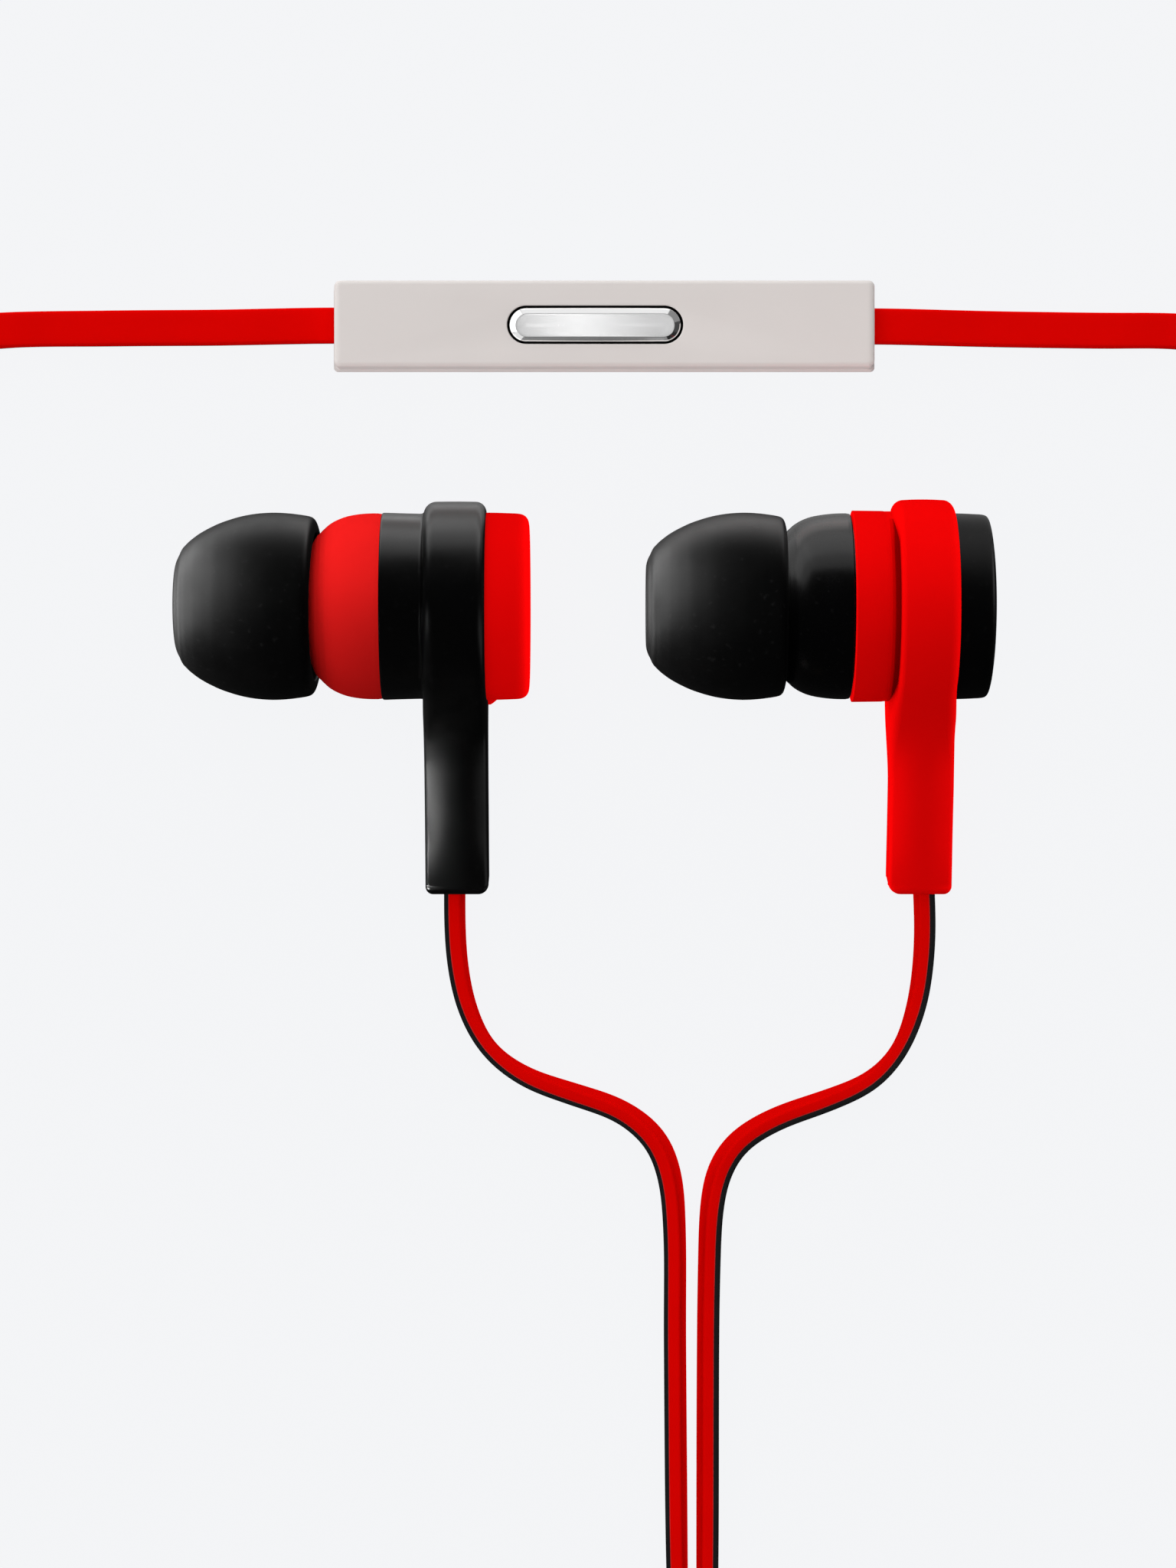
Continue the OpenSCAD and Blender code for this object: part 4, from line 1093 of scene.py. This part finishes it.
# ---------------------------------------------------------------- floor, world and lights
me = bpy.data.meshes.new("floor")
me.from_pydata([(-3, -3, -0.00002), (3, -3, -0.00002), (3, 3, -0.00002), (-3, 3, -0.00002)], [], [[0, 1, 2, 3]])
floor = bpy.data.objects.new("floor", me)
scene.collection.objects.link(floor)
floor.location.z = -0.00006
fm = bpy.data.materials.new("floor_pale")
fm.use_nodes = True
fb = fm.node_tree.nodes["Principled BSDF"]
PALE = (0.905, 0.913, 0.930)
fb.inputs["Base Color"].default_value = (0.02, 0.02, 0.02, 1)
fb.inputs["Roughness"].default_value = 1.0
fb.inputs["Specular IOR Level"].default_value = 0.0
fb.inputs["Emission Color"].default_value = (*PALE, 1)
fb.inputs["Emission Strength"].default_value = 0.98
me.materials.append(fm)
floor.visible_glossy = False
floor.visible_shadow = False

world = bpy.data.worlds.new("studio")
scene.world = world
world.use_nodes = True
wn, wl = world.node_tree.nodes, world.node_tree.links
wn.clear()
out = wn.new("ShaderNodeOutputWorld")
mixer = wn.new("ShaderNodeMixShader")
ray = wn.new("ShaderNodeLightPath")
dark = wn.new("ShaderNodeBackground")
dark.inputs["Color"].default_value = (1, 1, 1, 1)
dark.inputs["Strength"].default_value = 0.012
pale = wn.new("ShaderNodeBackground")
pale.inputs["Color"].default_value = (*PALE, 1)
pale.inputs["Strength"].default_value = 1.0
wl.new(ray.outputs["Is Camera Ray"], mixer.inputs["Fac"])
wl.new(dark.outputs["Background"], mixer.inputs[1])
wl.new(pale.outputs["Background"], mixer.inputs[2])
wl.new(mixer.outputs["Shader"], out.inputs["Surface"])


def panel(name, where, aim, size, radiance, glossy=True, diffuse=True, only=None, turn=0.0, spread=180.0, block=None):
    """A soft rectangular light; radiance is what a mirror would show."""
    d = bpy.data.lights.new(name, "AREA")
    d.shape = "RECTANGLE"
    d.size, d.size_y = size
    d.energy = radiance * math.pi * size[0] * size[1]
    d.spread = math.radians(spread)
    o = bpy.data.objects.new(name, d)
    scene.collection.objects.link(o)
    o.location = where
    direction = Vector(aim) - Vector(where)
    o.rotation_mode = "QUATERNION"
    o.rotation_quaternion = direction.to_track_quat("-Z", "Y") @ Quaternion((0, 0, 1), math.radians(turn))
    o.visible_camera = False
    o.visible_glossy = glossy
    o.visible_diffuse = diffuse
    if only is not None:
        c = bpy.data.collections.new(f"{name}_on")
        for x in only:
            c.objects.link(x)
        o.light_linking.receiver_collection = c
        if block is not None:
            c = bpy.data.collections.new(f"{name}_past")
            for x in block:
                c.objects.link(x)
        o.light_linking.blocker_collection = c
    return o


def piece(name):
    return bpy.data.objects[name]


pill = piece("button_chrome_pill")
tips = [piece("ear_tip_left_silicone"), piece("ear_tip_right_silicone")]
black_house, red_house = piece("housing_left_ring_and_stem"), piece("housing_right_ring_and_stem")
red_dome, black_dome = piece("front_shell_left_dome"), piece("front_shell_right_dome")
red_cap, black_cap = piece("back_cap_left_shell"), piece("back_cap_right_shell")
cases = [piece("remote_front_case"), piece("remote_back_case"), piece("splitter_cover_case"), piece("splitter_base_case")]
cables = [o for o, _ in cords.values()]
reds = [red_house, red_dome, red_cap]
for o in reds + cables + [relief]:
    o.visible_glossy = False
rest = [o for o in scene.objects if o.type == "MESH" and o is not floor and o is not pill and o not in tips
        and o is not black_dome and o is not black_cap]

panel("overhead", (-0.12, 0.05, 0.75), (0, 0, 0), (1.3, 1.3), 1.3, glossy=False)
panel("back_soft", (0.0, 0.75, 0.27), (0, 0, 0), (1.6, 0.6), 1.6, glossy=False)
panel("back_high", (0.0, 0.75, 0.17), (0, 0, 0.17), (1.6, 0.34), 1.1, diffuse=False, only=rest)
panel("back_mid", (0.0, 0.75, -0.08), (0, 0, -0.08), (1.6, 0.16), 2.1, diffuse=False, only=rest)
panel("back_low", (0.0, 0.75, -0.56), (0, 0, -0.56), (1.6, 0.8), 1.85, diffuse=False, only=rest)
panel("back_under", (0.0, 0.52, -0.95), (0, 0.52, 0), (1.6, 0.56), 0.4, diffuse=False, only=rest + [black_dome, black_cap])
# the soft tips: light from the far left
panel("tips_left", (-0.72, 0.19, -0.12), (0, 0, -0.12), (1.0, 1.1), 3.0, only=tips)
panel("tips_left_high", (-0.6, 0.2, 0.5), (0, 0, 0), (0.6, 0.34), 0.8, only=tips)
panel("tips_back", (0.0, 0.75, -0.5), (0, 0, -0.5), (1.6, 0.8), 1.15, only=tips)
# the black dome and cap
for n, o, k, spots in (("dome", black_dome, 0.66, (("a", (0.1, 0.75), (0.1, 0), 1.1), ("b", (-0.72, 0.64), (-0.05, 0), 0.62))),
                       ("cap", black_cap, 0.28, (("a", (0.1, 0.75), (0.1, 0), 1.3),))):
    for w, where, aim, wide in spots:
        panel(f"{n}_high_{w}", (*where, 0.52), (*aim, 0.52), (wide, 0.4), 1.1 * k, diffuse=False, only=[o])
        panel(f"{n}_mid_{w}", (*where, 0.08), (*aim, 0.08), (wide, 0.48), 1.9 * k, diffuse=False, only=[o])
        panel(f"{n}_low_{w}", (*where, -0.55), (*aim, -0.55), (wide, 0.76), 1.2 * k, diffuse=False, only=[o])
panel("cap_right", (0.75, 0.3, 0.0), (0, 0, 0.0), (0.5, 0.6), 1.1, diffuse=False, only=[black_cap])
# the stem: light from close by at its left
for k, (radiance, mid, long, cone) in enumerate(((1.5, -0.0088, 0.0125, 14), (1.7, -0.0088, 0.0125, 14), (2.1, -0.0086, 0.0125, 14),
                                                 (2.1, -0.0077, 0.0145, 17), (0.65, -0.0077, 0.0145, 17), (0.04, -0.0077, 0.0145, 17))):
    t = math.radians(10 * k)
    panel(f"stem_left_{k}", (-0.0085 - 0.05 * math.cos(t), mid, 0.009 + 0.05 * math.sin(t)), (-0.0085, mid, 0.009), (long, 0.009), radiance,
          diffuse=False, only=[black_house], spread=cone)
panel("stem_right", (0.75, -0.25, 0.1), (0, 0, 0), (0.3, 0.8), 0.35, diffuse=False, only=[black_house])
# the red shells and the grey cases: light along the row
panel("house_left", (-0.8, 0.0, -0.07), (0, 0, 0), (0.9, 0.9), 4.3, glossy=False, only=[red_house])
panel("house_right", (0.8, 0.0, -0.05), (0, 0, 0), (0.9, 0.9), 3.4, glossy=False, only=[red_house])
panel("house_back", (0.0, 0.8, -0.1), (0, 0, 0), (1.2, 0.7), 0.8, glossy=False, only=[red_house])
panel("cap_side", (0.8, 0.0, -0.05), (0, 0, 0), (0.9, 0.9), 4.5, glossy=False, only=[red_cap])
panel("cap_front", (0.0, -0.8, 0.3), (0, 0, 0), (1.2, 0.6), 0.85, glossy=False, only=[red_cap])
panel("dome_left", (-0.75, 0.32, 0.1), (0, 0, 0), (0.9, 0.9), 3.1, glossy=False, only=[red_dome], block=[red_dome, tips[0]])
panel("dome_back", (-0.3, 0.75, 0.05), (0, 0, 0), (1.2, 0.7), 1.15, glossy=False, only=[red_dome])
panel("cases_front", (0.0, -0.8, 0.05), (0, 0, 0), (1.4, 0.6), 1.3, glossy=False, only=cases)
panel("cases_left", (-0.8, 0.05, 0.25), (0, 0, 0), (0.9, 0.9), 1.6, glossy=False, only=cases)

# the mirror-bright button has its own reflections
# a dim surround for the metal, so that it isn't black from the other sides
metal = [pill] + [piece(n) for n in ("plug_sleeve", "plug_ring_ground", "plug_ring_right", "plug_tip")]
for name, where, size, radiance in (("back", (0.0, 0.57, 0.67), (1.0, 0.42), 0.5), ("left", (-0.52, 0.1, 0.72), (0.9, 0.34), 0.4),
                                    ("right", (0.52, 0.1, 0.72), (0.9, 0.34), 0.35), ("front", (0.0, -0.5, 0.72), (1.0, 0.34), 0.3)):
    panel(f"metal_{name}", where, (0, 0, 0), size, radiance, diffuse=False, only=metal)
spot = (0.0, 0.0245, 0.004)
panel("button_sky", (0.0, 0.125, 0.9), spot, (0.6, 0.5), 0.53, diffuse=False, only=[pill])
panel("button_glow_a", (-0.012, 0.125, 0.88), spot, (0.095, 0.34), 0.2, diffuse=False, only=[pill])
panel("button_glow_b", (-0.016, 0.13, 0.86), spot, (0.05, 0.3), 0.3, diffuse=False, only=[pill])
panel("button_slant", (0.055, 0.195, 0.84), spot, (0.3, 0.15), 0.1, diffuse=False, only=[pill], turn=-28)
for name, deg, l in (("left", 180, 1.25), ("left_back", 135, 1.15), ("left_front", 225, 0.8), ("back", 90, 0.88), ("front", 270, 0.23),
                     ("right_back", 45, 0.24), ("right", 0, 0.05), ("right_front", 315, 0.015)):
    t = math.radians(deg)
    panel(f"button_{name}", (0.8 * math.cos(t), 0.8 * math.sin(t), 0.33), (0, 0, 0.0), (0.66, 0.62), l, diffuse=False, only=[pill])
